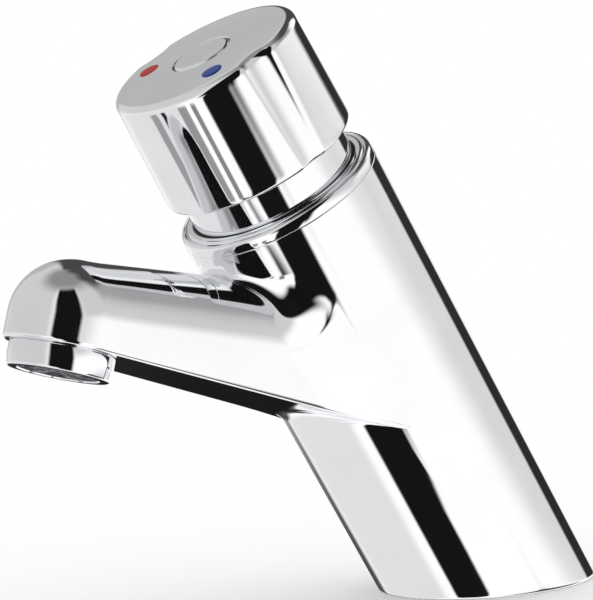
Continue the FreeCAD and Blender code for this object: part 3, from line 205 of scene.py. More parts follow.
def spout_wall(s, run, deep=False):
    """A point of the spout's long part: the section at that run."""
    across, up = section_at(s, run, deep)
    return from_outlet(across, np.broadcast_to(run, across.shape), up)


def spout_tip(s, turn):
    """The rounded end: the section turned about the outlet's axis, from the flank to the front."""
    run = -arch(s, TIP, SPRING)[0] * np.sin(turn)
    across, up = section_at(s, run)
    return from_outlet(across * np.cos(turn), -across * np.sin(turn), up)


def spout_normal(s):
    """Outward normal of the flank and the arch, from the section's own normal and its growth."""
    side, lift = np.cos(bow_angle(s)), np.sin(bow_angle(s))
    growth = WIDENING * np.where(s < FLANK_END, side, 1.0) + RISING * lift
    return unit(side[:, None] * RIGHT + lift[:, None] * STREAM_UP - growth[:, None] * INWARD)


# The root, where the spout grows out of the barrel. A ball rolls round it, with one radius under
# the spout and another at the flank, which fades to the crown's between two stations of s. The
# hollow it leaves flares up the wall by FLARE, from one station to another, and the section's rows
# stay level in it up to LEVEL_END.

RADIUS = bezel.outer
UNDER_BLEND = 8.0
FLANK_BLEND = 28.0
CROWN_BLEND = 1.5
FADE_START, FADE_END = 0.50, 0.88
FLARE = 3.0
FLARE_START, FLARE_FULL = 0.26, 0.50
LEVEL_END, LEVEL_FADE = 0.30, 0.66

# Its grid: columns over the flat and over the hollow, the share of the lower edge's line that the
# flat's columns take, the lowest of the ball's arcs and their number, the points along the lower
# edge, how near the wall counts as touching it, and how often the rolling ball's run is refined.
FLAT_COLUMNS, HOLLOW_COLUMNS = 14, 12
EDGE_FLAT_SHARE = 0.93
LOWEST_LINE, LINE_COUNT = -0.4, 1401
EDGE_POINTS = 400
TOUCHING = 1e-4
ROLL_PASSES = 12


def blend_radius(s):
    """Wide hollow at the flank, shrinking over the shoulder to a fine line at the crown."""
    fade = np.clip((s - FADE_START) / (FADE_END - FADE_START), 0, 1)
    return CROWN_BLEND + (FLANK_BLEND - CROWN_BLEND) * (1 - fade) ** 4 * (1 + 4 * fade)


def rest_length(start, step, ball):
    """How far from start, in steps, a ball's centre comes to rest on the barrel's wall: the nearer
    root of the quadratic for its distance from the axis."""
    centre, step = from_axis(start), from_axis(step)
    a = (step * step).sum(-1)
    b = (centre * step).sum(-1)
    c = (centre * centre).sum(-1) - (RADIUS + ball) ** 2
    return (-b - np.sqrt(b * b - a * c)) / a


def seated(touch, normal, line, ball):
    """Corner and wall point of the hollow under a ball that touches a line of the spout. The wall
    point is the ball's radius from its centre towards the axis, and the corner is where the line
    meets the tangent plane there."""
    centre = touch + ball[:, None] * normal
    wall_normal = unit(from_axis(centre))
    on_wall = centre - ball[:, None] * wall_normal
    reach = ((on_wall - touch) * wall_normal).sum(1) / (line * wall_normal).sum(1)
    return touch + reach[:, None] * line, on_wall


def root(s):
    """Where the hollow touches the spout and the barrel: a ball rests on both, so its centre is
    its radius above the spout's line and above the barrel's wall. Over the flank and the shoulder
    the hollow flares further up the wall."""
    ball = blend_radius(s)
    normal = spout_normal(s)
    start = spout_wall(s, np.full_like(s, EASE), True)
    line = spout_wall(s, np.full_like(s, EASE + 1.0), True) - start
    length = rest_length(start + ball[:, None] * normal, line, ball)
    on_spout = start + length[:, None] * line
    corner, on_wall = seated(on_spout, normal, line, ball)
    fall = np.clip((s - FADE_END) / (1 - FADE_END), 0, 1)
    flare = FLARE * smooth(s, FLARE_START, FLARE_FULL) * np.cos(np.pi / 2 * fall) ** 2
    return EASE + length, on_spout, corner, on_wall + flare[:, None] * AXIS


def at_level(rows, share):
    """Runs and points of the hollow for the section's rows, across it by share. The ball's own arcs
    climb towards the barrel, so a low row takes each point from the arc that passes at the row's
    level, and the rows above ease back to their own arcs."""
    lines = np.linspace(LOWEST_LINE, 1.0, LINE_COUNT)
    run, on_spout, corner, on_wall = root(lines)
    arcs = conic(on_spout, corner, on_wall, share)
    level = (arcs - OUTLET) @ STREAM_UP
    goal = np.interp(rows, lines, level[:, 0])
    ease = smooth(rows, LEVEL_END, LEVEL_FADE)
    out = np.empty((len(rows), len(share), 3))
    for column in range(len(share)):
        source = np.interp(goal, level[:, column], lines)
        source = source + (rows - source) * ease
        for k in range(3):
            out[:, column, k] = np.interp(source, lines, arcs[:, column, k])
    return np.interp(rows, lines, run), out


def lower_edge(rows, start_run):
    """The lower edge's rounding carried round the hollow: the hollow's lowest line is moved in
    and down by the rounding, and each row ends where it meets the barrel's wall."""
    share = np.linspace(0, 1, EDGE_POINTS)
    line = at_level(np.array([EDGE_END]), share)[1][0]
    inward = unit(np.cross(np.gradient(line, axis=0), STREAM_UP))
    inward = inward * -np.sign(inward[0] @ RIGHT)
    columns = spaced((EDGE_FLAT_SHARE, FLAT_COLUMNS), (1.0, HOLLOW_COLUMNS))
    out = []
    for turn in (rows - FLOOR_END) / (EDGE_END - FLOOR_END) * np.pi / 2:
        row = line + SPOUT_EDGE * ((1 - np.sin(turn)) * inward - np.cos(turn) * STREAM_UP)
        inside = np.flatnonzero(np.linalg.norm(from_axis(row), axis=1) - RADIUS < TOUCHING)
        end = share[inside[0]] if len(inside) else 1.0
        out.append(np.stack([np.interp(columns * end, share, row[:, k]) for k in range(3)], 1))
    out = np.array(out)
    out[:, 0] = spout_wall(rows, np.full_like(rows, start_run))
    return out


def underside(rows, start_run, edge):
    """The flat underside's rows fan out with the lower edge, then a ball rolls on it and the wall.
    The ball shrinks from the middle out and is gone where the edge meets the wall."""
    edge_run = (edge - OUTLET) @ INWARD
    edge_across = edge @ RIGHT
    q = rows / FLOOR_END
    ball = UNDER_BLEND * (1 - q ** 2)
    run = np.full_like(rows, edge_run[-1])
    for _ in range(ROLL_PASSES):
        across = q * np.interp(run, edge_run, edge_across)
        run = rest_length(from_outlet(across, 0 * across, -ball), INWARD, ball)
    touch = from_outlet(across, run, 0 * run)
    corner, on_wall = seated(touch, -STREAM_UP, INWARD, ball)
    hollow = conic(touch, corner, on_wall, np.linspace(0, 1, HOLLOW_COLUMNS + 1))
    runs = start_run + (run - start_run)[:, None] * np.linspace(0, 1, FLAT_COLUMNS + 1)
    flat = from_outlet(q[:, None] * np.interp(runs, edge_run, edge_across), runs, 0 * runs)
    return np.concatenate([flat[:, :-1], hollow], 1)


# The barrel, whose grid spreads from the root's border to the rim, the back and the base. The rim
# and the base have small rounded edges, and the bezel ring sits in a bore in the barrel's top.

RIM = bezel.high - 3.6
RIM_EDGE = 0.15
RIM_EDGE_MIDDLE = (0.05, 0.04)
SEAT_RADIUS = RADIUS - 1.8
BASE_EDGE = 0.8

# Its grid: the stations of the spout's section, closer together where it turns, shared out as rows
# over the base, the back and the rim, and the shares along the spout and the wall.
SECTION = spaced((FLOOR_END, 22), (EDGE_END, 12), (0.40, 26), (FLANK_END, 20), (1.0, 64))
BASE_ROWS = 60
BASE_EDGE_POINTS = 9
BACK_ROWS = 20
RIM_ROWS = len(SECTION) - 1 - BASE_ROWS - BACK_ROWS
SPOUT_SHARES = spaced((0.12, 12), (1.0, 34))
WALL_SHARES = spaced((0.12, 12), (1.0, 64))
SAME_LINE = 1e-9


def base_height(angle):
    """Height along the axis where the base edge's rounding begins on the wall."""
    return (BASE_EDGE + (RADIUS - BASE_EDGE) * np.cos(angle) * SIN_LEAN) / COS_LEAN


def wall_outline():
    """Outer border of the barrel's right half as (angle, height): base from front to back, up the
    back, rim from back to front, one point for each line of the spout's section."""
    down = np.linspace(0, np.pi, BASE_ROWS + 1)
    back = np.linspace(base_height(np.pi), RIM - RIM_EDGE, BACK_ROWS + 1)[1:]
    across = np.linspace(np.pi, 0, RIM_ROWS + 1)[1:]
    angle = np.concatenate([down, np.full(BACK_ROWS, np.pi), across])
    height = np.concatenate([base_height(down), back, np.full(RIM_ROWS, RIM - RIM_EDGE)])
    return angle, height


def root_grid():
    """The whole hollow by the section's rows, with the run at which each row leaves the spout."""
    s = SECTION
    upper = s >= EDGE_END - SAME_LINE
    edge = ~upper & (s > FLOOR_END - SAME_LINE)
    shares = np.linspace(0, 1, FLAT_COLUMNS + HOLLOW_COLUMNS + 1)
    upper_run, upper_hollow = at_level(s[upper], shares)
    start_run = upper_run[0]
    edge_hollow = lower_edge(s[edge], start_run)
    floor_hollow = underside(s[~upper & ~edge], start_run, edge_hollow[0])
    run = np.concatenate([np.full(len(s) - len(upper_run), start_run), upper_run])
    return run, np.concatenate([floor_hollow, edge_hollow, upper_hollow])


def body_patches():
    """Right half of the casting, and its mirror image: the spout's tip and its long part, the
    hollow, the barrel's wall, and the rim with the bezel's seat."""
    s = SECTION
    turn = np.linspace(np.pi / 2, 0, TIP_COLUMNS)
    tip = spout_tip(*np.broadcast_arrays(s[:, None], turn[None, :]))
    run, hollow = root_grid()
    spout = spout_wall(s[:, None] + 0 * SPOUT_SHARES, run[:, None] * SPOUT_SHARES)
    hollow[:, 0] = spout[:, -1]
    border = hollow[:, -1]
    angle, height = np.arctan2(border @ RIGHT, border @ FRONT), border @ AXIS
    edge_angle, edge_height = wall_outline()
    wall = on_barrel(angle[:, None] + (edge_angle - angle)[:, None] * WALL_SHARES,
                     height[:, None] + (edge_height - height)[:, None] * WALL_SHARES, RADIUS)
    inward, down = RIM_EDGE_MIDDLE
    rim = turned([(RADIUS, RIM - RIM_EDGE), (RADIUS - inward, RIM - down), (RADIUS - RIM_EDGE, RIM),
                  (SEAT_RADIUS, RIM), (SEAT_RADIUS, bezel.low), (0.0, bezel.low)],
                 np.linspace(np.pi, 0, RIM_ROWS + 1))
    return mirrored([tip, spout, hollow, wall, rim])


# The base: each bore is its middle's x and y, its radius and its depth.

INLET = (9.0, -11.0 * SIN_LEAN / COS_LEAN, 4.5, 11.0)
STUD = (0.0, 13.0, 3.4, 16.0)
BORE_STEPS = 64
GASKET_OUTER, GASKET_INNER, GASKET_DEPTH = 20.6, 18.0, 2.0


def base_patches():
    """The base edge's rounding, the flat rim of the base and the gasket's groove. The rounding is
    an arc from the wall's normal to straight down, by the sines of its two parts."""
    angle = np.linspace(0, np.pi, BASE_ROWS + 1)
    centre = on_barrel(angle, base_height(angle), RADIUS - BASE_EDGE)
    out = unit(from_axis(centre))
    between = np.arccos(-out @ UP)
    share = np.linspace(0, 1, BASE_EDGE_POINTS)
    near = np.sin((1 - share) * between[:, None]) / np.sin(between)[:, None]
    far = np.sin(share * between[:, None]) / np.sin(between)[:, None]
    ray = near[..., None] * out[:, None, :] - far[..., None] * UP
    edge = centre[:, None, :] + BASE_EDGE * ray
    foot = edge[:, -1]
    bearing = np.arctan2(foot[:, 0], -foot[:, 1])
    around = np.stack([np.sin(bearing), -np.cos(bearing), 0 * bearing], 1)
    rings = [foot, GASKET_OUTER * around, GASKET_OUTER * around + GASKET_DEPTH * UP,
             GASKET_INNER * around + GASKET_DEPTH * UP, GASKET_INNER * around]
    return mirrored([edge, np.stack(rings, 1)])


def base_floor(work):
    """Closes the middle of the base, with the bores of the two inlets and of the fixing stud."""
    border = [e for e in work.edges if e.is_boundary and all(
        abs(v.co.z) < WELD and abs(v.co.xy.length - GASKET_INNER * MM) < 10 * WELD for v in e.verts)]
    turn = np.linspace(0, 2 * np.pi, BORE_STEPS + 1)[:-1]
    following = [(i, (i + 1) % BORE_STEPS) for i in range(BORE_STEPS)]
    rims = []
    for x, y, radius, depth in (INLET, (-INLET[0],) + INLET[1:], STUD):
        mouth, end = [[work.verts.new(((x + radius * math.cos(a)) * MM, (y + radius * math.sin(a)) * MM,
                                       z * MM)) for a in turn] for z in (0.0, depth)]
        for i, j in following:
            work.faces.new((mouth[i], mouth[j], end[j], end[i]))
        work.faces.new(end)
        rims += [work.edges.get((mouth[i], mouth[j])) for i, j in following]
    bmesh.ops.triangle_fill(work, edges=border + rims, use_beauty=True)


# From grids to pieces. Vertices nearer than WELD, in metres, are joined, and edges that turn by
# more than SHARP stay sharp.

WELD = 2e-6
SHARP = math.radians(38)


def quads(patch, first):
    """Vertex numbers of the quads of a grid whose first vertex has this number."""
    rows, columns = patch.shape[:2]
    index = first + np.arange(rows * columns).reshape(rows, columns)
    return np.stack([index[:-1, :-1], index[1:, :-1], index[1:, 1:], index[:-1, 1:]], -1).reshape(-1, 4)


def mesh_of(name, patches):
    """One mesh of several grids, still open along their borders."""
    points = np.concatenate([patch.reshape(-1, 3) for patch in patches]) * MM
    starts = np.cumsum([0] + [patch.shape[0] * patch.shape[1] for patch in patches])
    faces = np.concatenate([quads(patch, start) for patch, start in zip(patches, starts)])
    mesh = bpy.data.meshes.new(name)
    mesh.from_pydata(points, [], faces)
    return mesh


def finished(mesh, extra=None):
    """Welds a mesh, lets extra close what is open, and turns its faces outwards."""
    work = bmesh.new()
    work.from_mesh(mesh)
    bmesh.ops.remove_doubles(work, verts=work.verts, dist=WELD)
    if extra:
        extra(work)
        bmesh.ops.remove_doubles(work, verts=work.verts, dist=WELD)
    bmesh.ops.dissolve_degenerate(work, edges=work.edges, dist=WELD / 4)
    bmesh.ops.recalc_face_normals(work, faces=work.faces)
    work.to_mesh(mesh)
    work.free()
    mesh.shade_smooth()
    mesh.set_sharp_from_angle(angle=SHARP)
    return mesh


def placed(name, data):
    """A new object in the scene with this data."""
    thing = bpy.data.objects.new(name, data)
    bpy.context.scene.collection.objects.link(thing)
    return thing


def piece(name, patches, body, material, node, extra=None):
    """A finished piece that rides on a body and stands for its CAD node."""
    mesh = finished(mesh_of(name, patches), extra)
    mesh.materials.append(material)
    thing = placed(name, mesh)
    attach(thing, body)
    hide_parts(node)


# Colours and materials.

NOISE_LOW, NOISE_HIGH = 0.32, 0.68


def linear(channel):
    """Linear value of one sRGB channel from 0 to 1."""
    return channel / 12.92 if channel <= 0.04045 else ((channel + 0.055) / 1.055) ** 2.4


def colour(code):
    """An sRGB hex colour as linear red, green, blue and alpha."""
    return [linear(int(code[i:i + 2], 16) / 255) for i in (1, 3, 5)] + [1.0]


def add(tree, kind, settings=(), links=()):
    """Adds a node, sets its properties and sockets, and links its sockets by name or number to
    other sockets, or to the first output of other nodes."""
    node = tree.nodes.new(kind)
    for key, value in dict(settings).items():
        if isinstance(key, str) and key in node.bl_rna.properties:
            setattr(node, key, value)
        else:
            node.inputs[key].default_value = value
    for key, source in dict(links).items():
        tree.links.new(getattr(source, "outputs", [source])[0], node.inputs[key])
    return node


def spread(tree, noise):
    """A noise node's values, stretched to fill 0 to 1."""
    ends = {"From Min": NOISE_LOW, "From Max": NOISE_HIGH}
    return add(tree, "ShaderNodeMapRange", ends, {"Value": noise})


def patches_of(tree, place, size):
    """Soft noise with patches about size mm across."""
    scale = 1 / (size * MM)
    return spread(tree, add(tree, "ShaderNodeTexNoise", {"Scale": scale, "Detail": 3.0}, {"Vector": place}))


def rings_of(tree, place, pitch):
    """Turning marks: noise along the barrel's axis alone, with lines about pitch mm apart."""
    lean = math.atan2(SIN_LEAN, COS_LEAN)
    upright = add(tree, "ShaderNodeMapping", {"Rotation": (-lean, 0, 0)}, {"Vector": place})
    parts = add(tree, "ShaderNodeSeparateXYZ", (), {"Vector": upright})
    lines = {"noise_dimensions": "1D", "Scale": 1 / (pitch * MM), "Detail": 2.0}
    return spread(tree, add(tree, "ShaderNodeTexNoise", lines, {"W": parts.outputs["Z"]}))


def finish(name, shades, roughness, size, depth, metallic=0.0, pitch=None, specular=0.5):
    """A material between two shades and two roughness values, in patches of size mm or in turning
    marks pitch mm apart, with bumps depth mm high."""
    material = bpy.data.materials.new(name)
    material.use_nodes = True
    tree = material.node_tree
    shader = tree.nodes["Principled BSDF"]
    place = tree.nodes.new("ShaderNodeTexCoord").outputs["Object"]
    patches = patches_of(tree, place, size)
    pattern = rings_of(tree, place, pitch) if pitch else patches
    ends = {"data_type": "RGBA", 6: colour(shades[0]), 7: colour(shades[1])}
    shade = add(tree, "ShaderNodeMix", ends, {0: patches})
    gloss = add(tree, "ShaderNodeMapRange", {"To Min": roughness[0], "To Max": roughness[1]},
                {"Value": pattern})
    bump = add(tree, "ShaderNodeBump", {"Strength": 1.0, "Distance": depth * MM}, {"Height": pattern})
    tree.links.new(shade.outputs[2], shader.inputs["Base Color"])
    tree.links.new(gloss.outputs[0], shader.inputs["Roughness"])
    tree.links.new(bump.outputs[0], shader.inputs["Normal"])
    shader.inputs["Metallic"].default_value = metallic
    shader.inputs["Specular IOR Level"].default_value = specular
    return material


FINISHES = {
    # Nickel-chrome plate over hand-polished brass: a neutral mirror, a touch blue. Waves from the
    # polishing mop, 16 mm across and 5 microns high, bend long reflections, and wiping leaves a
    # faint haze.
    "chrome": finish("polished_chrome_plate", ("#ECEDEF", "#F1F2F4"), (0.02, 0.045), 16.0, 0.005, 1.0),
    # Moulded nitrile rubber: near black and dull. The mould's grain is about 0.1 mm across, and is
    # drawn at 0.3 mm so that it shows.
    "rubber": finish("black_nitrile_rubber", ("#141415", "#212122"), (0.5, 0.7), 0.3, 0.008),
    # Moulded acetal in mid grey: satin, with a spark-eroded grain that catches a soft light. It is
    # about 0.1 mm across, and is drawn at 0.25 mm so that it shows.
    "grey_plastic": finish("grey_acetal", ("#606367", "#72757A"), (0.32, 0.5), 0.25, 0.006),
    # Filled epoxy enamel, red and blue: glossy and deep, with a slight orange peel 0.8 mm across.
    "red_plastic": finish("red_enamel", ("#960D08", "#B0150E"), (0.2, 0.3), 0.8, 0.004, specular=0.08),
    "blue_plastic": finish("blue_enamel", ("#133075", "#1B3D8B"), (0.2, 0.3), 0.8, 0.004, specular=0.08),
    # Turned brass: warm, bright, with tool marks round the axis, 0.12 mm apart as the tool's feed.
    "brass": finish("turned_brass", ("#BD964E", "#D2AC64"), (0.2, 0.36), 4.0, 0.003, 1.0, pitch=0.12),
    # Drawn and turned stainless steel: cool grey, satin, with finer marks, 0.08 mm apart.
    "stainless": finish("stainless_steel", ("#ACADAF", "#BDBEC0"), (0.25, 0.4), 3.0, 0.002, 1.0,
                        pitch=0.08),
    # Moulded white acetal: waxy and even. Its soft grain of about 0.1 mm is drawn at 0.3 mm.
    "acetal": finish("white_acetal", ("#DCDCD7", "#E9E9E5"), (0.32, 0.45), 0.3, 0.004),
    # Lapped alumina: off-white, very smooth. Its grains are some hundredths of a millimetre, and
    # their faint speckle is drawn at 0.15 mm.
    "ceramic": finish("lapped_alumina", ("#E9E7DF", "#F2F0EA"), (0.1, 0.2), 0.15, 0.001)}
for part in frame["record"]["subparts"]:
    mesh = frame["nodes"][part["node"]].data
    mesh.materials.clear()
    mesh.materials.append(FINISHES[part["material_slot"]])


# Bezel ring, wiper and skirt: the ring screws into the barrel and holds the rubber wiper, and the
# skirt slides through both when the head is pushed.

BEZEL_SHANK = RADIUS - 1.9
BEZEL_FOOT_ROUND = 0.15
STEP = RIM + 2.0
STEP_RADIUS = RADIUS - 1.3
STEP_HOLLOW = (0.3, 0.12)
SHOULDER_ROUND = 1.05
SHOULDER_CENTRE = (0.05, 0.45)
SHOULDER_START, SHOULDER_END = 8, 84
BEZEL_TOP = RIM + 2.95
BEZEL_TOP_RADIUS = RADIUS - 2.6
BEZEL_TOP_ROUND = 0.9
LIP = skirt.outer + 0.55
LIP_ROUND = 0.25
LIP_THICK = 0.6
WIPER_BORE = skirt.outer + 0.5
WIPER_GROOVE = skirt.outer + 1.1
WIPER_GROOVE_FLOOR = bezel.high - 2.2
WIPER_GAP = 0.05
WIPER_EDGE = (-0.1, 0.35)
WIPER_TIP = (0.08, 0.45)
WIPER_FOOT = 0.2
SKIRT_THICK = 1.5
SKIRT_ROUND = 0.4
SKIRT_STRAIGHT = 1.0


def bezel_profile():
    """Ring on the barrel's rim: slightly coned side, rounded shoulder, a step in, and a second
    rounded shoulder up to a narrow flat top with a lip over the wiper's groove."""
    foot, top, lip = BEZEL_FOOT_ROUND, BEZEL_TOP_ROUND, LIP_ROUND
    shoulder = (STEP_RADIUS + SHOULDER_CENTRE[0], STEP - SHOULDER_CENTRE[1])
    return ([(WIPER_BORE, bezel.low), (BEZEL_SHANK, bezel.low), (BEZEL_SHANK, RIM)]
            + corner_round((RADIUS - foot, RIM + foot), foot, -90, 0, 4)
            + corner_round(shoulder, SHOULDER_ROUND, SHOULDER_START, SHOULDER_END, 12)
            + [(STEP_RADIUS - STEP_HOLLOW[0], STEP - STEP_HOLLOW[1])]
            + corner_round((BEZEL_TOP_RADIUS, BEZEL_TOP - top), top, 0, 90, 12)
            + corner_round((LIP + lip, BEZEL_TOP - lip), lip, 90, 180, 5)
            + [(LIP, BEZEL_TOP - LIP_THICK), (WIPER_GROOVE, BEZEL_TOP - LIP_THICK),
               (WIPER_GROOVE, WIPER_GROOVE_FLOOR), (WIPER_BORE, WIPER_GROOVE_FLOOR),
               (WIPER_BORE, bezel.low)])


def wiper_profile():
    """Rubber ring in the bezel's groove, with a thin lip that leans up against the skirt."""
    foot, top = wiper.low, BEZEL_TOP - LIP_THICK - WIPER_GAP
    return [(wiper.outer, foot), (wiper.outer, top), (LIP + WIPER_GAP, top),
            (LIP + WIPER_EDGE[0], top + WIPER_EDGE[1]),
            (skirt.outer + WIPER_TIP[0], top + WIPER_TIP[1]),
            (skirt.outer + WIPER_FOOT, foot), (wiper.outer, foot)]


def skirt_profile():
    """Thin sleeve with a rounded foot, from inside the bezel up into the head."""
    inner = skirt.outer - SKIRT_THICK
    foot = (skirt.outer - SKIRT_ROUND, skirt.low + SKIRT_ROUND)
    side = [(skirt.outer, h) for h in np.linspace(skirt.low + SKIRT_STRAIGHT, head.low, 12)]
    return ([(inner, skirt.low)] + corner_round(foot, SKIRT_ROUND, -90, 0, 4) + side
            + [(skirt.outer, skirt.high), (inner, skirt.high), (inner, skirt.low)])


# The head, turned a little to the hot side as it is in the photograph.

SCALLOP_RADIUS = 9.0
SCALLOP_ANGLE = 90.0
SCALLOP_EDGE = 3.0
SCALLOP_AT_FOOT = 0.6
SCALLOP_AT_RIM = 1.7
SCALLOP_BEYOND = 1.0
HEAD_TURN = -7.6
HEAD_FOOT_RADIUS = skirt.outer + 3.0
HEAD_RIM_RADIUS = HEAD_FOOT_RADIUS - 0.7
HEAD_FOOT = head.low + 1.75
HEAD_RIM = head.low + 29.0
CROWN = HEAD_RIM + 0.6
RIM_ROUND = 1.8
FOOT_ROUND = 0.8
HEAD_STEPS = 640
WALL_POINTS, RIM_POINTS, TOP_POINTS, FOOT_POINTS = 26, 14, 26, 10
WELL = cap.outer + 0.45
WELL_ROUND = 0.3
SOCKET = skirt.outer + 0.05
SOCKET_EDGE = 0.25


def wall_radius(height):
    """Radius of the head's drafted round wall, straight from its foot to its rim."""
    share = (height - HEAD_FOOT) / (HEAD_RIM - HEAD_FOOT)
    return HEAD_FOOT_RADIUS + (HEAD_RIM_RADIUS - HEAD_FOOT_RADIUS) * share


def head_outline(angle, height):
    """Radius of the head's wall by angle from its own front: a drafted round wall, cut on two sides
    by a hollow that deepens to the rim, and a ball rolled along the edge between them."""
    wall = wall_radius(height)
    low, high = head.low - SCALLOP_BEYOND, CROWN + SCALLOP_BEYOND
    at_foot = HEAD_FOOT_RADIUS - SCALLOP_AT_FOOT + SCALLOP_RADIUS
    at_rim = HEAD_RIM_RADIUS - SCALLOP_AT_RIM + SCALLOP_RADIUS
    away = at_foot + (at_rim - at_foot) * (height - low) / (high - low)
    off = np.abs(np.abs((angle + np.pi) % (2 * np.pi) - np.pi) - math.radians(SCALLOP_ANGLE))
    ball = wall - SCALLOP_EDGE
    both = SCALLOP_RADIUS + SCALLOP_EDGE
    touch = np.arccos((ball ** 2 + away ** 2 - both ** 2) / (2 * ball * away))
    ball_x, ball_y = ball * np.cos(touch), ball * np.sin(touch)
    share = SCALLOP_RADIUS / both
    start = np.arctan2(share * ball_y, away + share * (ball_x - away))

    def circle(centre, turn, radius, side):
        """Distance to a circle's near or far side along a ray, a turn away from its centre."""
        reach = np.maximum(radius ** 2 - (centre * np.sin(turn)) ** 2, 0)
        return centre * np.cos(turn) + side * np.sqrt(reach)

    hollow = circle(away, off, SCALLOP_RADIUS, -1)
    edge = circle(ball, off - touch, SCALLOP_EDGE, 1)
    return np.where(off < start, hollow, np.where(off < touch, edge, wall))


def head_point(angle, height, radius):
    """A point by its angle from the head's own front."""
    return on_barrel(angle + math.radians(HEAD_TURN), height, radius)


def head_rings(angles, profile):
    """A profile of (radius, height) turned through the head's own angles."""
    radius, height = np.array(profile).T
    return head_point(angles[:, None], height[None, :], radius[None, :])


def dome(radius):
    """Height of the head's domed top, a parabola from the crown down to the rim."""
    return HEAD_RIM + (CROWN - HEAD_RIM) * (1 - (radius / HEAD_RIM_RADIUS) ** 2)


def inset(angle, radius, distance):
    """An outline in (angle, radius) moved inwards, square to itself."""
    x, y = radius * np.cos(angle), radius * np.sin(angle)
    dx = np.roll(x[:-1], -1) - np.roll(x[:-1], 1)
    dy = np.roll(y[:-1], -1) - np.roll(y[:-1], 1)
    length = np.hypot(dx, dy)
    x, y = x[:-1] - distance * dy / length, y[:-1] + distance * dx / length
    x, y = np.append(x, x[0]), np.append(y, y[0])
    turn = np.unwrap(np.arctan2(y, x))
    return turn - turn[0] + np.arctan2(y[0], x[0]), np.hypot(x, y)


def head_patches():
    """Scalloped wall, rounded rim, domed top with the disc's well, rounded foot, and the socket that
    the skirt sits in."""
    angle = np.linspace(0, 2 * np.pi, HEAD_STEPS + 1)
    heights = np.linspace(HEAD_FOOT + FOOT_ROUND, HEAD_RIM - RIM_ROUND, WALL_POINTS)
    outline = head_outline(angle[:, None], heights[None, :])
    wall = head_point(angle[:, None], heights[None, :], outline)

    rim = head_outline(angle, HEAD_RIM)
    top_angle, top_rim = inset(angle, rim, RIM_ROUND)
    rounding = conic(wall[:, -1], head_point(angle, dome(rim), rim),
                     head_point(top_angle, dome(top_rim), top_rim), np.linspace(0, 1, RIM_POINTS))
    mouth = WELL + WELL_ROUND
    share = np.linspace(0, 1, TOP_POINTS)
    ray = np.array([np.cos(top_angle), np.sin(top_angle)])[..., None]
    x, y = ray * top_rim[:, None] * (1 - share) + ray * mouth * share
    away = np.hypot(x, y)
    top = head_point(np.arctan2(y, x), dome(away), away)
    brim = corner_round((WELL, dome(WELL) - WELL_ROUND), WELL_ROUND, 90, 180, 6)[1:]
    well = head_rings(top_angle, [(mouth, dome(mouth))] + brim + [(WELL, cap.low), (0.0, cap.low)])

    foot = head_outline(angle, HEAD_FOOT)
    foot_angle, foot_in = inset(angle, foot, FOOT_ROUND)
    under = conic(wall[:, 0], head_point(angle, HEAD_FOOT, foot),
                  head_point(foot_angle, HEAD_FOOT, foot_in), np.linspace(0, 1, FOOT_POINTS))
    socket = head_rings(foot_angle, [(SOCKET + SOCKET_EDGE, HEAD_FOOT), (SOCKET, HEAD_FOOT + SOCKET_EDGE),
                                     (SOCKET, skirt.high), (0.0, skirt.high)])
    flat = np.stack([under[:, -1], socket[:, 0]], 1)
    return [wall, rounding, top, well, under, flat, socket]


# The disc in the head's middle and the two enamel dots.

DISC_TOP = cap.high - 0.35
DISC_EDGE = 0.9
DISC_RISE = 0.2
DOT_RADIUS = 2.4
DOT_PLACE = 14.8
DOT_ANGLE = 63.5
DOT_PROUD = 0.12
DOT_EDGE = 0.12
DOT_RISE = 0.05
DOT_DEPTH = 0.4


def lens(radius, top, rise, steps):
    """Slightly domed face in a profile, a parabola from its edge up to its middle."""
    return [(r, top + rise * (1 - (r / radius) ** 2)) for r in steps]


def disc_profile():
    """Raised disc: straight side, rounded edge, slightly domed face."""
    flat = cap.outer - DISC_EDGE
    arc = corner_round((flat, DISC_TOP - DISC_EDGE), DISC_EDGE, 0, 84, 9)[1:]
    face = lens(flat, DISC_TOP, DISC_RISE, np.linspace(flat, 0, 16))
    return [(0.0, cap.low), (cap.outer, cap.low), (cap.outer, DISC_TOP - DISC_EDGE)] + arc + face


def dot_patches(angle):
    """Enamel dot standing a hair proud of the head: a flat lens with a rounded edge."""
    centre = head_point(np.array(math.radians(angle)), dome(DOT_PLACE), DOT_PLACE)
    flat = DOT_RADIUS - DOT_EDGE
    arc = corner_round((flat, DOT_PROUD - DOT_EDGE), DOT_EDGE, 0, 90, 5)
    face = lens(DOT_RADIUS, DOT_PROUD, DOT_RISE, np.linspace(flat, 0, 10)[1:])
    reach, height = np.array([(0.0, -DOT_DEPTH), (DOT_RADIUS, -DOT_DEPTH)] + arc + face).T
    turn = np.linspace(0, 2 * np.pi, 65)[:, None, None]
    ray = np.cos(turn) * RIGHT + np.sin(turn) * FRONT
    return [centre + reach[:, None] * ray + height[:, None] * AXIS]


# The outlet ring, with its seat inside the spout. Heights are counted from the spout's underside.

RING_BORE = 8.7
RING_SEAT = 9.6
RING_TOP = 6.0
RING_NECK = 0.6
RING_GAP = 0.12
RING_SHOULDER = 0.3
RING_DRAFT = 0.35
RING_ROUND = 0.5
RING_LIP = 0.9


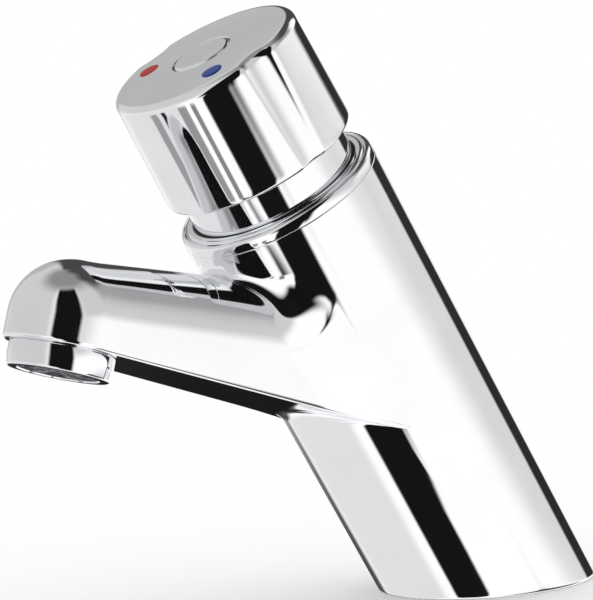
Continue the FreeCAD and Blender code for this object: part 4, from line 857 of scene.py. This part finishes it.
def outlet_ring_patches(steps=256):
    """Outlet ring, a profile of (radius, height) turned about the outlet's axis: rounded shoulder
    under the spout, straight band, rounded mouth and a thin lip."""
    outer, mouth, edge = collar.outer, -COLLAR, RING_SHOULDER
    profile = ([(RING_SEAT, RING_TOP), (outer - RING_NECK, RING_TOP), (outer - RING_NECK, -RING_GAP)]
               + corner_round((outer - edge, -RING_GAP - edge), edge, 90, 0, 5)
               + [(outer, mouth / 2)]
               + corner_round((outer - RING_DRAFT - RING_ROUND, mouth + RING_ROUND), RING_ROUND, 0, -90, 8)
               + [(RING_BORE + edge, mouth), (RING_BORE, mouth + edge), (RING_BORE, mouth + RING_LIP),
                  (RING_SEAT, mouth + RING_LIP), (RING_SEAT, RING_TOP)])
    radius, height = np.array(profile, float).T
    angle = np.linspace(0, 2 * np.pi, steps + 1)[:, None]
    return [from_outlet(radius * np.cos(angle), radius * np.sin(angle), height + 0 * angle)]


# The pieces that show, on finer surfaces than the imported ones.

chrome = FINISHES["chrome"]
piece("body_casting", body_patches() + base_patches(), "tap", chrome, "tap_body", base_floor)
piece("bezel", full_turn(bezel_profile()), "tap", chrome, "bezel_ring")
piece("wiper_lip", full_turn(wiper_profile()), "tap", FINISHES["rubber"], "wiper_seal")
piece("sliding_skirt", full_turn(skirt_profile()), "head", chrome, "head_skirt")
piece("head_shell", head_patches(), "head", chrome, "push_head")
piece("head_centre_disc", full_turn(disc_profile(), 160), "head", chrome, "head_cap")
piece("outlet_ring", outlet_ring_patches(), "tap", chrome, "aerator_housing")
for name, side, node, slot in (("cold_enamel_dot", DOT_ANGLE, "cold_dot", "blue_plastic"),
                               ("hot_enamel_dot", -DOT_ANGLE, "hot_dot", "red_plastic")):
    piece(name, dot_patches(side), "head", FINISHES[slot], node)


# Camera: at the photograph's place, 593 by 600.

CAMERA = {"azimuth": 50.176, "elevation": 2.385, "roll": -2.808, "distance": 605.203, "scale": 4.115,
          "across": 46.413, "up": -68.226}
SENSOR = 36.0
PICTURE = 600
NEAREST = 10.0


def place_camera():
    """Stands at the azimuth and elevation round the object, rolled, with the object's origin seen
    at (across, up) from the middle of the picture at that distance, scale in pixels per mm."""
    a, e, r = (math.radians(CAMERA[k]) for k in ("azimuth", "elevation", "roll"))
    level = np.array([math.cos(a), math.sin(a), 0])
    toward = np.array([math.sin(a) * math.cos(e), -math.cos(a) * math.cos(e), math.sin(e)])
    above = np.cross(toward, level)
    across = math.cos(r) * level + math.sin(r) * above
    upward = -math.sin(r) * level + math.cos(r) * above
    place = (-CAMERA["across"] * across - CAMERA["up"] * upward + CAMERA["distance"] * toward) * MM
    camera = bpy.data.cameras.new("camera")
    camera.sensor_width = SENSOR
    camera.lens = SENSOR * CAMERA["scale"] * CAMERA["distance"] / PICTURE
    camera.clip_start = NEAREST * MM
    thing = placed("camera", camera)
    thing.matrix_world = Matrix([*zip(across, upward, toward, place), (0, 0, 0, 1)])
    bpy.context.scene.camera = thing


# Studio: a white tent, open and dark on the camera's side. Each card is a soft-edged patch of the
# tent seen from the tap: azimuth from the front towards the right, half width and soft edge, then
# elevation, half height and soft edge, all in degrees, then its brightness as the eye sees it. A
# later card lies over the earlier ones.

WHITE_CARD = 1.15
CARDS = [
    ("upper_tent", -60, 88, 12, 40, 44, 16, 0.80),
    ("upper_right", 112, 30, 10, 36, 32, 9, 0.79),
    ("upper_back", 155, 22, 10, 46, 20, 12, 0.62),
    ("ceiling", 0, 180, 1, 90, 28, 12, 0.55),
    ("ceiling_back", -175, 45, 16, 62, 13, 7, 0.28),
    ("left_wall_back", -137, 18, 4, 37, 29, 4, 0.27),
    ("head_light", -109, 10, 4, 19, 22, 8, 0.70),
    ("left_wall", -48, 54, 10, -38, 32, 8, 0.875),
    ("back_wall", 168, 30, 22, 6, 10, 8, 0.84),
    ("dark_back", -163, 14.5, 3, 4, 12, 4, 0.17),
    ("dark_back_high", -152, 20, 3, 13, 5, 3, 0.18),
    ("low_back", -124, 10, 4, -24, 13, 3, 0.10),
    ("low_back_edge", -112, 8, 5, -22, 7, 4, 0.30),
    ("under_back", 150, 30, 4, -45, 25, 6, 0.20),
    ("table_grey_left", -43, 6, 1.5, -42, 6, 2, 0.60),
    ("table_black", -26, 3.5, 1.5, -45, 5, 2, 0.15),
    ("table_grey", 8, 7, 1.5, -47, 4, 2, 0.58),
    ("table_grey_right", 25.5, 3.5, 1.2, -46, 4, 2, 0.52),
    ("open_side_low", 49, 22.5, 3, -62, 13, 2, 0.08),
    ("open_side_middle", 57.5, 15, 2, -44, 10, 2, 0.08),
    ("open_side_high", 59, 16.5, 2, -30, 10, 2, 0.08),
    ("open_side", 57, 26, 4, 19, 45, 6, 0.07),
]


def studio():
    """World: plain white for the eye and for plain surfaces, the tent's cards for gloss alone."""
    world = bpy.data.worlds.new("studio")
    bpy.context.scene.world = world
    world.use_nodes = True
    tree = world.node_tree
    tree.nodes.clear()
    place = tree.nodes.new("ShaderNodeTexCoord").outputs["Generated"]
    way = add(tree, "ShaderNodeSeparateXYZ", (), {"Vector": place}).outputs
    back = add(tree, "ShaderNodeMath", {"operation": "MULTIPLY", 1: -1.0}, {0: way["Y"]})
    azimuth = add(tree, "ShaderNodeMath", {"operation": "ARCTAN2"}, {0: way["X"], 1: back})
    elevation = add(tree, "ShaderNodeMath", {"operation": "ARCSINE"}, {0: way["Z"]})

    def window(angle, centre, half, soft):
        """One near the centre, falling smoothly to zero from half - soft to half + soft off it."""
        off = add(tree, "ShaderNodeMath", {"operation": "SUBTRACT", 1: math.radians(centre)}, {0: angle})
        wrapped = add(tree, "ShaderNodeMath", {"operation": "WRAP", 1: math.pi, 2: -math.pi}, {0: off})
        size = add(tree, "ShaderNodeMath", {"operation": "ABSOLUTE"}, {0: wrapped})
        fall = {"interpolation_type": "SMOOTHSTEP", "From Min": math.radians(half + soft),
                "From Max": math.radians(half - soft)}
        return add(tree, "ShaderNodeMapRange", fall, {"Value": size})

    light = tree.nodes.new("ShaderNodeValue")
    light.outputs[0].default_value = WHITE_CARD
    for name, centre, half, soft, height, half_height, soft_height, brightness in CARDS:
        across = window(azimuth, centre, half, soft)
        upward = window(elevation, height, half_height, soft_height)
        share = add(tree, "ShaderNodeMath", {"operation": "MULTIPLY"}, {0: across, 1: upward})
        card = {"data_type": "FLOAT", 3: linear(brightness) * WHITE_CARD}
        light = add(tree, "ShaderNodeMix", card, {0: share, 2: light})
        light.name = name
    glossy = tree.nodes.new("ShaderNodeLightPath").outputs["Is Glossy Ray"]
    seen = add(tree, "ShaderNodeMix", {"data_type": "FLOAT", 2: 1.0}, {0: glossy, 3: light})
    background = add(tree, "ShaderNodeBackground", {"Color": (1, 1, 1, 1)}, {"Strength": seen})
    add(tree, "ShaderNodeOutputWorld", (), {"Surface": background})


FLOOR_HALF = 4000.0
FLOOR_DROP = 0.1


def floor():
    """Plain white sweep just under the tap. It holds the tap's soft shadow for the eye alone."""
    corners = [(x * FLOOR_HALF * MM, y * FLOOR_HALF * MM, -FLOOR_DROP * MM)
               for x, y in ((-1, -1), (1, -1), (1, 1), (-1, 1))]
    mesh = bpy.data.meshes.new("floor")
    mesh.from_pydata(corners, [], [(0, 1, 2, 3)])
    material = bpy.data.materials.new("white_paper_sweep")
    material.use_nodes = True
    tree = material.node_tree
    tree.nodes.clear()
    paper = add(tree, "ShaderNodeBsdfDiffuse", {"Color": (1, 1, 1, 1)})
    add(tree, "ShaderNodeOutputMaterial", (), {"Surface": paper})
    mesh.materials.append(material)
    thing = placed("floor", mesh)
    thing.visible_glossy = False


place_camera()
studio()
floor()
bpy.context.scene.view_settings.view_transform = "Standard"
